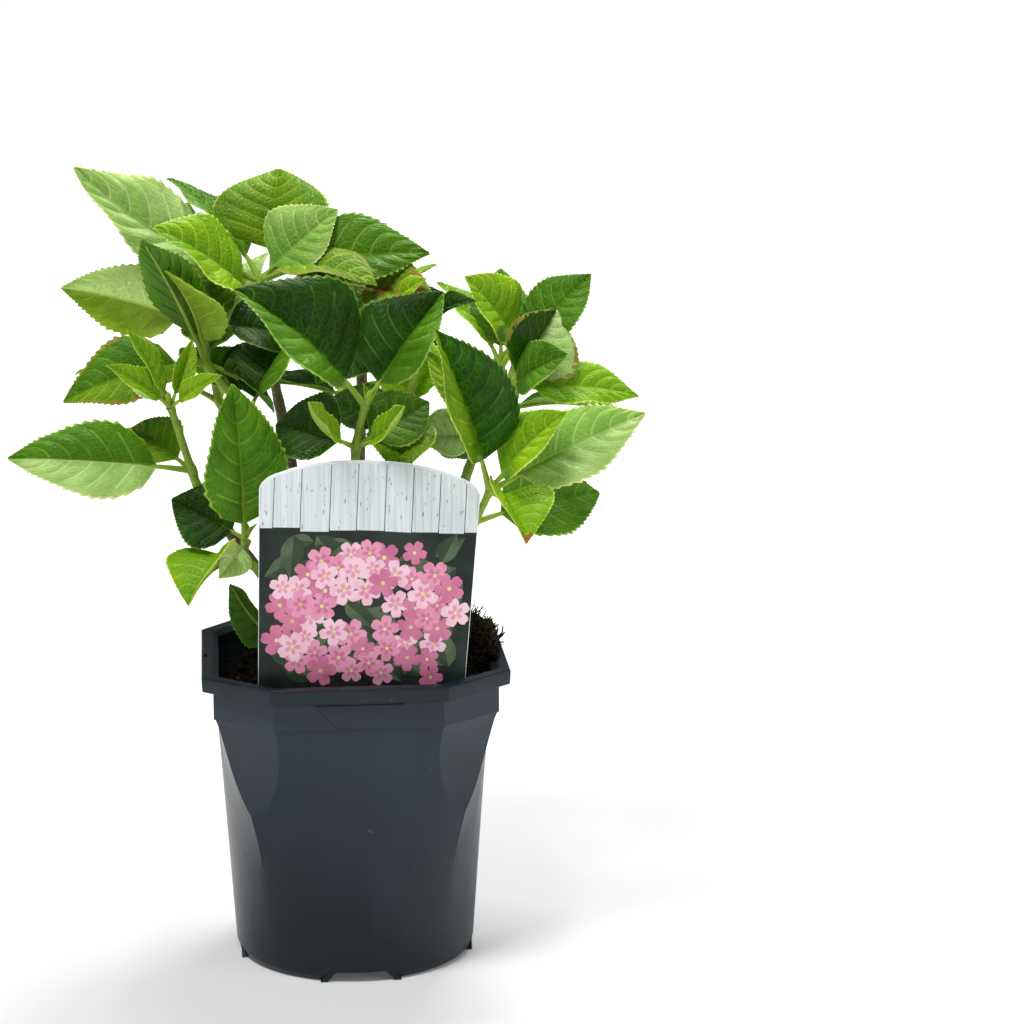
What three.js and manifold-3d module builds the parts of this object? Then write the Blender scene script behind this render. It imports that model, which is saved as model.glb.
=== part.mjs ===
// A young hydrangea in its nursery pot, in millimetres, +Z up.
// The origin is the middle of the pot's flat underside, and -Y is the front.
import * as THREE from 'three'
import { mergeVertices } from 'three/addons/utils/BufferGeometryUtils.js'
import Module from 'manifold-3d'

const wasm = await Module()
wasm.setup()

const CLEARANCE = 0.3

// Pot
const RIM_WIDTH = 130
const POT_HEIGHT = 134
const LIP_DROP = 6.6
const LIP_THICKNESS = 1.4
const BAND_BOTTOM = 115
const BAND_HALF = 60.2
const WALL_TOP_HALF = 59.3
const BASE_HALF = 51.8
const WALL = 1.8
const FLOOR = 2.6
const FACET_TIP = 74
const SIDE_STEPS = 5
const RIM_FLAT = 0.637
const WALL_FLAT = 0.66
const NOTCH = { bottom: 31, top: 21, height: 4.6, reach: 25 }
const DRAIN = { length: 10, width: 6 }
const TAG_SLOT = { y: -7, length: 4.8, width: 1.3 }

// Compost
const COMPOST_LEVEL = 121.6
const COMPOST_RINGS = [1, 0.86, 0.68, 0.48, 0.26]
const MOUND = { x: 49, y: 20, height: 20, spread: 13 }

// Label
const LABEL = { width: 91.4, taper: 1.7, lean: 3, shoulder: 84.5, arch: 13.5, thickness: 0.8, y: -48 }
const LABEL_FOOT = { x: 1.6, z: 128.8, sunk: 4 }
const STAKE = { top: 24, tip: 14, length: 24 }

// Plant
const STOCK = { x: 0, y: 4, radius: 6, flare: 9, height: 9 }
const ARM_RADIUS = 2.9
const BOUGH_RADIUS = 2.7
const SHOOT_RADIUS = 2.1
const SHOOT_TIP_RADIUS = 1.5
const BOUGH_START = 138
const LIMB_SIDES = 5
const BUD = { length: 9, radius: 2.4 }
const STALK_SHARE = 0.18
const STALK_RADIUS = 1.4
const LEAF_THICKNESS = 1
const LEAF_STEPS = 4

const plastic = new THREE.MeshStandardMaterial({ color: '#2c3238', roughness: 0.42 })
const compostEarth = new THREE.MeshStandardMaterial({ color: '#1d1611', roughness: 1 })
const card = new THREE.MeshStandardMaterial({ color: '#dfe4e4', roughness: 0.5 })
const wood = new THREE.MeshStandardMaterial({ color: '#6f6a3c', roughness: 0.7 })
const foliage = new THREE.MeshStandardMaterial({ color: '#4f8d2c', roughness: 0.5 })

// One leaf: the compass and rise that it points at, in degrees, its reach from the stem to its tip,
// its width as a share of its blade, how far it arches, its roll about its rib and its fold.
function leaf(compass, rise, reach, width = 0.6, arch = 0.1, roll = 0, fold = 15) {
  return { compass, rise, reach, width, arch, roll, fold }
}

// Each shoot: where its bough starts beside the stock, a point that the bough passes and its tip,
// then the joints of the shoot that grows on from there, with the leaves of each joint.
const SHOOTS = {
  centre: {
    bough: [[1, -8, BOUGH_START], [1, -22, 175], [1, -33, 214]],
    joints: [
      { at: [1, -36, 230], leaves: [
        leaf(-124, 35, 44, 0.42, -0.1, -60, 30), leaf(-59, 33, 42, 0.42, -0.1, 60, 30),
        leaf(149, 9, 39, 1.1, 0.06, -48, 18), leaf(30, 22, 40, 0.85, 0.06, 50)] },
      { at: [5, -35, 247], leaves: [
        leaf(-166, 43, 76, 0.9, 0.08, -50, 28), leaf(8, 54, 58, 0.95, 0.04, 42, 28)] },
    ],
  },
  upper_left: {
    bough: [[-12, 4, BOUGH_START], [-24, 0, 175], [-31, -8, 213]],
    joints: [
      { at: [-43, -4, 238], leaves: [leaf(42, 48, 41, 1.4, 0.06, -5, 20), leaf(120, 20, 60)] },
      { at: [-60, 0, 260], leaves: [
        leaf(-175, -14, 63, 0.62, 0.12, -45), leaf(-119, 53, 55, 0.7, 0.08, -30, 20),
        leaf(-124, 52, 74, 0.42, 0.05, 20, 20), leaf(85, 5, 52), leaf(25, -38, 40, 0.9, 0.08, 20)] },
      { at: [-60, 10, 274], leaves: [
        leaf(174, 15, 64, 0.62, 0.12, 85, 14), leaf(120, 0, 50), leaf(15, -12, 46, 0.85, 0.08, 40)] },
    ],
  },
  left: {
    bough: [[-15, -3, BOUGH_START], [-45, -14, 180], [-64, -23, 210]],
    joints: [
      { at: [-67, -25, 219], leaves: [
        leaf(-175, 6, 77, 0.5, 0.06, -62, 10), leaf(126, 13, 47, 0.7, 0.08, -35)] },
      { at: [-75, -35, 248], leaves: [
        leaf(-163, 62, 38, 0.42, 0.03, -50, 25), leaf(46, 63, 30, 0.45, 0.03, 60, 35),
        leaf(-150, 35, 36, 0.42, 0.05, -60, 25), leaf(-31, 32, 29, 0.45, 0.05, 60, 25),
        leaf(124, 24, 30, 0.6, 0.05, -40, 20)] },
    ],
  },
  front_left: {
    bough: [[-10, -9, BOUGH_START], [-25, -22, 156], [-38, -31, 175]],
    joints: [
      { at: [-46, -34, 184], leaves: [
        leaf(-126, -18, 42, 1.15, 0.12, 16, 34), leaf(-125, 85, 75, 0.62, 0.04, -122, 16)] },
      { at: [-45, -35, 191], leaves: [
        leaf(-125, -30, 24, 0.8, 0.04, -60, 20), leaf(167, 28, 36, 1.1, 0.05, -50, 12)] },
    ],
  },
  low_left: {
    bough: [[-14, -11, 131], [-19, -17, 134], [-24, -23, 137]],
    joints: [
      { at: [-31, -27, 141], leaves: [leaf(-160, 54, 39, 0.85, 0.06, 140, 10)] },
    ],
  },
  right_front: {
    bough: [[11, -6, BOUGH_START], [34, -20, 168], [46, -31, 189]],
    joints: [
      { at: [50, -37, 197], leaves: [leaf(22, 6, 61, 0.75, 0.08, 50, 12), leaf(165, 5, 34)] },
      { at: [56, -45, 212], leaves: [
        leaf(-152, 69, 76, 0.74, 0.04, -80, 36), leaf(-27, 46, 50, 0.8, 0.06, 45, 18),
        leaf(0, 26, 73, 0.54, 0.05, 55, 8), leaf(-70, -24, 38, 1.2, 0.1, -12, 38)] },
    ],
  },
  right_back: {
    bough: [[12, 3, BOUGH_START], [38, -8, 185], [48, -18, 212]],
    joints: [
      { at: [55, -14, 228], leaves: [
        leaf(-168, 4, 30, 1, 0.08, -48), leaf(156, 56, 44, 0.6, 0.06, -40, 25)] },
      { at: [67, 0, 246], leaves: [
        leaf(27, 52, 42, 1.2, 0.04, 75, 32), leaf(-37, 31, 36, 0.95, 0.05, 50, 14),
        leaf(0, -4, 58, 0.55, 0.08, 35, 12)] },
      { at: [74, 16, 260], leaves: [
        leaf(-155, 52, 44, 1, 0.06, -55, 16), leaf(4, 46, 46, 0.75, 0.05, 50, 12)] },
    ],
  },
  inner_right: {
    bough: [[5, 0, BOUGH_START], [12, 2, 180], [18, -4, 216]],
    joints: [
      { at: [23, -9, 234], leaves: [
        leaf(-97, -22, 39, 0.9), leaf(75, 58, 46, 0.8, 0.05), leaf(15, -30, 34, 0.9, 0.06, 40),
        leaf(170, 12, 36, 0.9, 0.06, -40)] },
      { at: [30, -10, 272], leaves: [leaf(-47, 29, 37, 0.55, 0.14, 40), leaf(170, 0, 34)] },
    ],
  },
  top: {
    bough: [[-5, 9, BOUGH_START], [-22, 26, 200], [-33, 34, 258]],
    joints: [
      { at: [-37, 34, 279], leaves: [leaf(-154, 37, 62, 0.85, 0.06, -40, 16), leaf(140, 10, 54)] },
      { at: [-36, 38, 289], leaves: [
        leaf(-3, 42, 46, 0.95, 0.05, 50, 14), leaf(-6, 9, 75, 0.62, 0.1, 48, 16),
        leaf(-168, 33, 96, 0.5, -0.09, -50, 16), leaf(149, 42, 63, 0.5, 0.08),
        leaf(-34, 2, 59, 0.8, 0.12, 12, 14)] },
      { at: [-31, 42, 292], leaves: [leaf(80, 60, 49, 1.36, 0.1, -3, 14)] },
    ],
  },
  top_right: {
    bough: [[2, 8, BOUGH_START], [5, 24, 200], [7, 27, 252]],
    joints: [
      { at: [7, 27, 266], leaves: [
        leaf(-28, 41, 41, 0.8, 0.06, 40), leaf(15, 20, 44, 0.8, 0.08, 40),
        leaf(-125, -22, 40, 0.9, 0.08, -40), leaf(20, -24, 46, 0.9, 0.08, 40), leaf(110, 30, 60)] },
      { at: [1, 32, 287], leaves: [leaf(-30, -8, 44, 0.85, 0.06, 35), leaf(84, 49, 38, 0.8, 0.06)] },
    ],
  },
  back_left: {
    bough: [[-10, 14, BOUGH_START], [-35, 42, 185], [-44, 52, 212]],
    joints: [
      { at: [-55, 60, 232], leaves: [leaf(170, 10, 66), leaf(80, 5, 64)] },
      { at: [-58, 66, 252], leaves: [
        leaf(125, 30, 62), leaf(-170, 50, 50), leaf(40, 50, 55), leaf(100, 75, 42, 0.75)] },
    ],
  },
  back: {
    bough: [[1, 16, BOUGH_START], [4, 52, 180], [6, 64, 206]],
    joints: [
      { at: [8, 72, 228], leaves: [leaf(170, 5, 60), leaf(30, 0, 62), leaf(90, -10, 55)] },
      { at: [8, 74, 255], leaves: [
        leaf(110, 35, 62), leaf(-5, 45, 50), leaf(-160, 0, 46, 0.8), leaf(-38, 4, 44, 0.8),
        leaf(60, 68, 46, 0.8)] },
    ],
  },
  back_right: {
    bough: [[10, 14, BOUGH_START], [45, 38, 180], [56, 46, 206]],
    joints: [
      { at: [66, 52, 226], leaves: [leaf(75, 0, 62), leaf(-15, 0, 60)] },
      { at: [70, 56, 246], leaves: [
        leaf(40, 25, 64), leaf(140, 45, 50), leaf(85, 65, 46, 0.75), leaf(-35, 38, 44, 0.7)] },
    ],
  },
}

const mix = THREE.MathUtils.lerp
const radians = THREE.MathUtils.degToRad

// Moves each point of a geometry to the place that a function gives for it.
function bend(geometry, place) {
  const points = geometry.attributes.position
  for (let index = 0; index < points.count; index++) {
    const moved = place(new THREE.Vector3().fromBufferAttribute(points, index))
    points.setXYZ(index, moved.x, moved.y, moved.z)
  }
  return geometry
}

// A closed geometry as a solid, without the flat triangles that an axis or a pole leaves.
function solid(geometry) {
  geometry.deleteAttribute('normal')
  geometry.deleteAttribute('uv')
  const merged = mergeVertices(geometry, 1e-4)
  const corners = merged.index.array
  const kept = []
  for (let corner = 0; corner < corners.length; corner += 3) {
    const [a, b, c] = corners.slice(corner, corner + 3)
    if (a !== b && b !== c && c !== a) {
      kept.push(a, b, c)
    }
  }
  const vertProperties = new Float32Array(merged.attributes.position.array)
  return new wasm.Manifold(new wasm.Mesh({ numProp: 3, vertProperties, triVerts: new Uint32Array(kept) }))
}

function join(solids) {
  return solids.reduce((whole, piece) => whole.add(piece))
}

function mesh(name, body, material) {
  const { vertProperties, triVerts } = body.getMesh()
  const geometry = new THREE.BufferGeometry()
  geometry.setAttribute('position', new THREE.BufferAttribute(new Float32Array(vertProperties), 3))
  geometry.setIndex(new THREE.BufferAttribute(new Uint32Array(triVerts), 1))
  geometry.computeVertexNormals()
  const piece = new THREE.Mesh(geometry, material)
  piece.name = name
  return piece
}

// The pot's plan has four sides, each of SIDE_STEPS steps, with one step across each corner facet.
const PLAN_STEPS = 4 * (SIDE_STEPS + 1)

// A point of that plan. half is the half-width across the sides, corner is the angle from the
// middle of a side to its corner facet, and round takes the plan from a square (0) to a circle (1).
function planPoint(step, { half, corner, round }) {
  const side = Math.floor(step / (SIDE_STEPS + 1))
  const along = (step % (SIDE_STEPS + 1)) / SIDE_STEPS
  const angle = mix(-corner, corner, along)
  const radius = mix(half / Math.cos(angle), half, round)
  const turn = side * Math.PI / 2 + angle
  return new THREE.Vector2(radius * Math.cos(turn), radius * Math.sin(turn))
}

// A closed body lofted up through the plans of its rows. Each row gives z and a plan, or only z
// where the body closes on the axis. lift may raise a point by its place.
function loft(rows, lift = () => 0) {
  const profile = rows.map((row, index) => new THREE.Vector2(row.half ? 1 : 0, index))
  const lathe = new THREE.LatheGeometry(profile, PLAN_STEPS)
  return solid(bend(lathe, ({ x, y, z }) => {
    const row = rows[Math.round(y)]
    const step = Math.round(Math.atan2(x, z) / (2 * Math.PI) * PLAN_STEPS + PLAN_STEPS) % PLAN_STEPS
    const spot = row.half ? planPoint(step, row) : new THREE.Vector2()
    return new THREE.Vector3(spot.x, spot.y, row.z + lift(spot.x, spot.y, row))
  }))
}

// The wall's plan at a height: flat corner facets that close to a tip while the pot gets round.
function wallRow(z, inset = 0) {
  const half = mix(BASE_HALF, WALL_TOP_HALF, z / BAND_BOTTOM) - inset
  const round = 1 - (Math.max(z, 0) / BAND_BOTTOM) ** 2.5
  const closed = THREE.MathUtils.clamp((BAND_BOTTOM - z) / (BAND_BOTTOM - FACET_TIP), 0, 1)
  return { z, half, corner: mix(Math.atan(WALL_FLAT), Math.PI / 4, closed ** 3), round }
}

const WALL_HEIGHTS = [38, FACET_TIP, 84, 94, 104]

const rimRow = (z, half) => ({ z, half, corner: Math.atan(RIM_FLAT), round: 0 })
const bandRow = (z, half) => ({ z, half, corner: Math.atan(WALL_FLAT), round: 0 })

// The room inside the pot, up through its mouth.
function potRoom() {
  return loft([
    { z: FLOOR },
    { ...wallRow(FLOOR, WALL + 2), z: FLOOR },
    wallRow(FLOOR + 2, WALL),
    ...WALL_HEIGHTS.map(z => wallRow(z, WALL)),
    wallRow(BAND_BOTTOM, WALL),
    bandRow(POT_HEIGHT - 2.6, BAND_HALF - WALL - 0.7),
    rimRow(POT_HEIGHT, BAND_HALF + 0.2),
    rimRow(POT_HEIGHT + 1, BAND_HALF + 0.6),
    { z: POT_HEIGHT + 1 },
  ])
}

function makePot() {
  const rimHalf = RIM_WIDTH / 2
  const lipBottom = POT_HEIGHT - LIP_DROP
  const outside = loft([
    { z: 0 },
    { ...wallRow(0, 3), z: 0 },
    { ...wallRow(1.2, 0.9), z: 1.2 },
    wallRow(3.5),
    ...WALL_HEIGHTS.map(z => wallRow(z)),
    bandRow(BAND_BOTTOM - 0.8, WALL_TOP_HALF),
    bandRow(BAND_BOTTOM, BAND_HALF),
    bandRow(POT_HEIGHT - LIP_THICKNESS, BAND_HALF),
    rimRow(POT_HEIGHT - LIP_THICKNESS, rimHalf - LIP_THICKNESS),
    rimRow(lipBottom, rimHalf - LIP_THICKNESS - 0.2),
    rimRow(lipBottom, rimHalf - 0.3),
    rimRow(POT_HEIGHT - 0.9, rimHalf),
    rimRow(POT_HEIGHT, rimHalf - 0.9),
    { z: POT_HEIGHT },
  ])
  const slot = new THREE.BoxGeometry(TAG_SLOT.width, TAG_SLOT.length, 2 * LIP_THICKNESS + 1)
  slot.translate(-(rimHalf + BAND_HALF + 1) / 2, TAG_SLOT.y, POT_HEIGHT - LIP_THICKNESS / 2)
  let pot = outside.subtract(potRoom()).subtract(solid(slot))
  for (let side = 0; side < 4; side++) {
    const channel = archway(NOTCH, 0, NOTCH.reach, BASE_HALF + 3, side)
    const cover = archway(NOTCH, WALL, NOTCH.reach - WALL, BASE_HALF, side).intersect(outside)
    const drain = new THREE.BoxGeometry(DRAIN.length, DRAIN.width, 4 * WALL)
    drain.translate(NOTCH.reach + DRAIN.length, 0, NOTCH.height).rotateZ(side * Math.PI / 2)
    pot = pot.add(cover).subtract(channel).subtract(solid(drain))
  }
  return pot
}

// A bar with sloped sides along the floor, from one distance from the middle to another, that is
// wider and taller than the notch in the foot by a margin.
function archway(notch, margin, from, to, side) {
  const bottom = notch.bottom / 2 + margin
  const top = notch.top / 2 + margin
  const under = margin ? FLOOR / 2 : -1
  const outline = new THREE.Shape()
  outline.moveTo(-bottom, under).lineTo(bottom, under).lineTo(bottom, margin ? FLOOR : 0)
  outline.lineTo(top, notch.height + margin).lineTo(-top, notch.height + margin)
  outline.lineTo(-bottom, margin ? FLOOR : 0)
  const bar = new THREE.ExtrudeGeometry(outline, { depth: to - from, bevelEnabled: false })
  bar.rotateX(Math.PI / 2).rotateZ(Math.PI / 2).translate(from, 0, 0).rotateZ(side * Math.PI / 2)
  return solid(bar)
}

// How far the compost stands above its level: nearly flat at the plant's foot, heaped at the right.
function heap(x, y) {
  const away = Math.hypot(x - MOUND.x, y - MOUND.y) / MOUND.spread
  const crumble = 0.7 * Math.sin(0.31 * x + 1) * Math.cos(0.27 * y) * Math.min(1, Math.hypot(x, y) / 30)
  return MOUND.height * Math.exp(-away * away / 2) + crumble - 0.7
}

function makeCompost(cutters) {
  const foot = NOTCH.height + WALL + CLEARANCE
  const inset = WALL + 2 * CLEARANCE
  const level = wallRow(BAND_BOTTOM, inset)
  const earth = loft([
    { z: foot },
    wallRow(foot, inset),
    ...WALL_HEIGHTS.map(z => wallRow(z, inset)),
    level,
    ...COMPOST_RINGS.map(share => ({ ...level, half: level.half * share, z: COMPOST_LEVEL, top: true })),
    { z: COMPOST_LEVEL, top: true },
  ], (x, y, row) => row.top ? heap(x, y) : 0)
  return cutters.reduce((left, cutter) => left.subtract(cutter), earth)
}

// The label's outline, its foot at the origin: straight sides that widen upwards, round shoulders
// and a low arch, with a stake under it. grow widens the stake for the slit that it stands in.
function labelOutline() {
  const flare = LABEL.shoulder * Math.tan(radians(LABEL.taper))
  const foot = LABEL.width / 2 - flare
  const wide = LABEL.width / 2
  const outline = new THREE.Shape()
  outline.moveTo(-STAKE.tip / 2, -LABEL_FOOT.sunk - STAKE.length).lineTo(STAKE.tip / 2, -LABEL_FOOT.sunk - STAKE.length)
  outline.lineTo(STAKE.top / 2, -LABEL_FOOT.sunk).lineTo(foot, -LABEL_FOOT.sunk).lineTo(wide, LABEL.shoulder)
  outline.quadraticCurveTo(wide - 1, LABEL.shoulder + 5, wide - 9, LABEL.shoulder + 7.5)
  outline.quadraticCurveTo(wide / 2, LABEL.shoulder + LABEL.arch, 0, LABEL.shoulder + LABEL.arch)
  outline.quadraticCurveTo(-wide / 2, LABEL.shoulder + LABEL.arch, -wide + 9, LABEL.shoulder + 7.5)
  outline.quadraticCurveTo(-wide + 1, LABEL.shoulder + 5, -wide, LABEL.shoulder)
  outline.lineTo(-foot, -LABEL_FOOT.sunk).lineTo(-STAKE.top / 2, -LABEL_FOOT.sunk)
  return outline
}

function placeOnLabel(geometry) {
  geometry.rotateX(Math.PI / 2).rotateY(radians(LABEL.lean))
  return geometry.translate(LABEL_FOOT.x, LABEL.y, LABEL_FOOT.z)
}

function makeLabel() {
  const board = new THREE.ExtrudeGeometry(labelOutline(), { depth: LABEL.thickness, bevelEnabled: false, curveSegments: 5 })
  return solid(placeOnLabel(board.translate(0, 0, -LABEL.thickness / 2)))
}

// The slit that the label's foot and stake stand in.
function makeSlit() {
  const width = STAKE.top + 4 * CLEARANCE
  const depth = STAKE.length + CLEARANCE
  const slit = new THREE.BoxGeometry(width, depth, LABEL.thickness + 2 * CLEARANCE)
  return solid(placeOnLabel(slit.translate(0, -LABEL_FOOT.sunk - depth / 2, 0)))
}

// A tapering round limb along a stretch of a curve, flat at both ends.
function limb(curve, from, to, startRadius, endRadius, sides, steps) {
  const tube = new THREE.CylinderGeometry(1, 1, 1, sides, steps)
  return solid(bend(tube, ({ x, y, z }) => {
    const share = y + 0.5
    const place = mix(from, to, share)
    const ahead = curve.getTangent(place)
    const across = new THREE.Vector3(0, 1, 0).cross(ahead).normalize()
    const radius = mix(startRadius, endRadius, share)
    const out = across.clone().multiplyScalar(x).addScaledVector(across.cross(ahead), z)
    return curve.getPoint(place).addScaledVector(out, radius)
  }))
}

const vector = point => new THREE.Vector3(...point)

// The curve of a shoot, from its bough's start to its last joint, and where on it the bough ends.
function route({ bough, joints }) {
  const stops = [...bough, ...joints.map(joint => joint.at)].map(vector)
  const curve = new THREE.CatmullRomCurve3(stops, false, 'centripetal')
  const fork = (bough.length - 1) / (stops.length - 1)
  const pace = curve.getPoint(fork + 0.001).distanceTo(curve.getPoint(fork - 0.001)) / 0.002
  return { curve, fork, gap: CLEARANCE / pace / 2 }
}

function makeBough(shoot) {
  const { curve, fork, gap } = route(shoot)
  return limb(curve, 0, fork - gap, BOUGH_RADIUS, SHOOT_RADIUS + 0.1, LIMB_SIDES, 5)
}

// The woody stock: a flared foot that is flat on the compost, with an arm towards each bough.
function makeStock() {
  const { x, y, radius, flare, height } = STOCK
  const profile = [[0, 0], [flare, 0], [radius, 2.5], [radius - 1, height], [0, height + 3]]
  const knob = new THREE.LatheGeometry(profile.map(([out, up]) => new THREE.Vector2(out, up)), 12)
  knob.rotateX(Math.PI / 2).translate(x, y, COMPOST_LEVEL + CLEARANCE)
  const arms = Object.values(SHOOTS).map(shoot => {
    const start = vector(shoot.bough[0])
    const onward = route(shoot).curve.getTangent(0)
    const root = new THREE.Vector3(mix(x, start.x, 0.3), mix(y, start.y, 0.3), COMPOST_LEVEL + 0.6 * height)
    const end = start.clone().addScaledVector(onward, -CLEARANCE)
    const elbow = end.clone().addScaledVector(onward, -0.35 * end.distanceTo(root))
    return limb(new THREE.QuadraticBezierCurve3(root, elbow, end), 0, 1, ARM_RADIUS, BOUGH_RADIUS, LIMB_SIDES, 2)
  })
  return join([solid(knob), ...arms])
}

// The leaf's own axes: along its rib, up from its upper face, and across.
function leafAxes({ compass, rise, roll }) {
  const level = Math.cos(radians(rise))
  const onward = new THREE.Vector3(
    level * Math.cos(radians(compass)), level * Math.sin(radians(compass)), Math.sin(radians(rise)))
  const up = new THREE.Vector3(0, 0, 1).addScaledVector(onward, -onward.z).normalize()
  up.applyAxisAngle(onward, radians(roll))
  return { onward, up, across: onward.clone().cross(up) }
}

// Half the blade's width at a share of its length, as a share of its widest.
function bladeProfile(share) {
  return share ** 0.75 * (1 - share) ** 1.15 / 0.2796
}

function growLeaf(joint, shape) {
  const { onward, up, across } = leafAxes(shape)
  const blade = (1 - STALK_SHARE) * shape.reach
  const rib = share => joint.clone()
    .addScaledVector(onward, share * shape.reach)
    .addScaledVector(up, 4 * shape.arch * shape.reach * share * (1 - share))
  const slope = radians(shape.fold)
  const plate = new THREE.BoxGeometry(1, 1, 1, 2, LEAF_STEPS, 1)
  bend(plate, ({ x, y, z }) => {
    const share = mix(0.02, 0.985, y + 0.5)
    const out = x * blade * shape.width * bladeProfile(share)
    return rib(mix(STALK_SHARE, 1, share))
      .addScaledVector(across, out * Math.cos(slope))
      .addScaledVector(up, Math.abs(out) * Math.sin(slope) + z * LEAF_THICKNESS)
  })
  const stalk = new THREE.CatmullRomCurve3([0, STALK_SHARE / 2, STALK_SHARE, STALK_SHARE + 0.08].map(rib))
  return solid(plate).add(limb(stalk, 0, 1, STALK_RADIUS, 0.35 * LEAF_THICKNESS, 3, 2))
}

// A shoot's stem, on from its bough, with a bud at its tip.
function makeStem(shoot) {
  const { curve, fork, gap } = route(shoot)
  const stem = limb(curve, fork + gap, 1, SHOOT_RADIUS, SHOOT_TIP_RADIUS, LIMB_SIDES, 2 * shoot.joints.length)
  const bud = new THREE.ConeGeometry(BUD.radius, BUD.length, LIMB_SIDES, 1)
  bud.rotateX(Math.PI / 2).translate(0, 0, BUD.length / 2 - 1)
  bud.applyQuaternion(new THREE.Quaternion().setFromUnitVectors(new THREE.Vector3(0, 0, 1), curve.getTangent(1)))
  const tip = curve.getPoint(1)
  return stem.add(solid(bud.translate(tip.x, tip.y, tip.z)))
}

// A mass: a shoot's stem with as many of its leaves as keep clear of everything else.
function growMass(shoot, stem, others) {
  const leaves = shoot.joints.flatMap(({ at, leaves }) => leaves.map(shape => growLeaf(vector(at), shape)))
  const clear = leaves.filter(blade => others.every(other => blade.minGap(other, CLEARANCE) >= CLEARANCE))
  return join([stem, ...clear])
}

const plant = new THREE.Group()
const pot = makePot()
const label = makeLabel()
const stock = makeStock()
const compost = makeCompost([makeSlit()])
plant.add(mesh('pot', pot, plastic), mesh('compost', compost, compostEarth))
plant.add(mesh('label', label, card), mesh('stock', stock, wood))

const boughs = Object.values(SHOOTS).map(makeBough)
const stems = Object.values(SHOOTS).map(makeStem)
const fixed = [pot, compost, label, stock, ...boughs]
const masses = []
for (const [index, [name, shoot]] of Object.entries(SHOOTS).entries()) {
  masses.push(growMass(shoot, stems[index], [...fixed, ...masses, ...stems.toSpliced(index, 1)]))
  plant.add(mesh(`bough_${name}`, boughs[index], wood))
  plant.add(mesh(`leaves_${name}`, masses[index], foliage))
}

export default plant
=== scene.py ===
import math
import random

import bmesh
import bpy
import numpy as np
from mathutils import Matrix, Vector, noise


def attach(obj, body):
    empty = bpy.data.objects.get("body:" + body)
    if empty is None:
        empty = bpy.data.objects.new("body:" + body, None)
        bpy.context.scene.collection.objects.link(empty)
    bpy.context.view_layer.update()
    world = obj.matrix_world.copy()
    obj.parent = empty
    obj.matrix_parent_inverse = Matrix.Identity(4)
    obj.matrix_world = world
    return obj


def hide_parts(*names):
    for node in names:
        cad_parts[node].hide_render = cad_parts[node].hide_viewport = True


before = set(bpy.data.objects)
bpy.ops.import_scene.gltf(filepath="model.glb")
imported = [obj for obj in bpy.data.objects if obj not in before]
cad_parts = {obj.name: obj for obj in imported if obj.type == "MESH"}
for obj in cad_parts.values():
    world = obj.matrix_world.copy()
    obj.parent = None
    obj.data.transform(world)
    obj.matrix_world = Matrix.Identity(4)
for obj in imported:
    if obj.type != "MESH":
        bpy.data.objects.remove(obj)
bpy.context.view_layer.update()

MM = 0.001
random.seed(41)

# Sizes in millimetres, the same as the solids have.
RIM_WIDTH = 130
POT_HEIGHT = 134
LIP_DROP = 6.6
LIP_THICKNESS = 1.4
BAND_BOTTOM = 115
BAND_HALF = 60.2
WALL_TOP_HALF = 59.3
BASE_HALF = 51.8
WALL = 1.8
FLOOR = 2.6
FACET_TIP = 74
SIDE_STEPS = 23
PLAN_STEPS = 4 * (SIDE_STEPS + 1)
RIM_FLAT = 0.637
WALL_FLAT = 0.66
NOTCH = {"bottom": 31, "top": 21, "height": 4.6, "reach": 25}
DRAIN = {"length": 10, "width": 6}
TAG_SLOT = {"y": -7, "length": 4.8, "width": 1.3}
GRIP_MARK = {"top": 125.7, "bottom": 115.6, "top_half": 19, "bottom_half": 10, "proud": 0.45}

COMPOST_LEVEL = 121.6
MOUND = {"x": 49, "y": 20, "height": 20, "spread": 13}

LABEL = {"width": 91.4, "taper": 1.7, "lean": 3, "shoulder": 84.5, "arch": 13.5, "thickness": 0.8, "y": -48}
LABEL_FOOT = {"x": 1.6, "z": 128.8, "sunk": 4}
STAKE = {"top": 24, "tip": 14, "length": 24}

STOCK = {"x": 0, "y": 4, "height": 9}
CLEARANCE = 0.3
ARM_RADIUS = 2.9
BOUGH_RADIUS = 2.7
SHOOT_RADIUS = 2.1
SHOOT_TIP_RADIUS = 1.5
BOUGH_START = 138
STALK_SHARE = 0.18
STALK_RADIUS = 1.4
# The greatest width that a blade's profile comes to, and the share of a shoot's curve that stays free on
# each side of its bough's tip.
PROFILE_PEAK = 0.2796
TIP_GAP = 0.0004

# What the solids leave out, in millimetres too. First the print on the label: where the planks end and
# where the picture under them starts, the joints of the planks, and the garland of blossom.
PLANK_ENDS = 68
PRINT_MEETS = 69.2
PLANK_JOINTS = [-39.5, -28.3, -16.2, -5, 6.6, 17.9, 29.1, 39.9]
PRINTED_LEAVES = 84
BLOSSOM_TRIES = 4200
BLOSSOM_SPACING = 6.2
GARLAND = {"middle": 33, "half_width": 30, "half_height": 22, "radius": 0.86, "spread": 0.26}

# Loose compost: crumbs on the bed and then some in the bank at the right wall, and root fibres.
BANK = {"x": 58, "y": -2, "height": 13, "width": 9, "length": 25, "top": 13.2}
BED_CRUMBS = 1251
SPILT_CRUMBS = 649
BED_FIBRES = 430
BANK_FIBRES = 110

# The finer leaf: side veins on each half, rows of the mesh from vein to vein and how much of them a vein
# takes, columns from the rib (0) to the margin (1), and the last column that side veins reach.
VEINS = 7
VEIN_ROWS = 9
VEIN_WIDTH = 0.1
COLUMNS = [0, 0.02, 0.14, 0.27, 0.4, 0.53, 0.66, 0.78, 0.88, 0.965, 1]
LAST_VEINED = 6
LEAF_THICKNESS = 0.45

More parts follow.
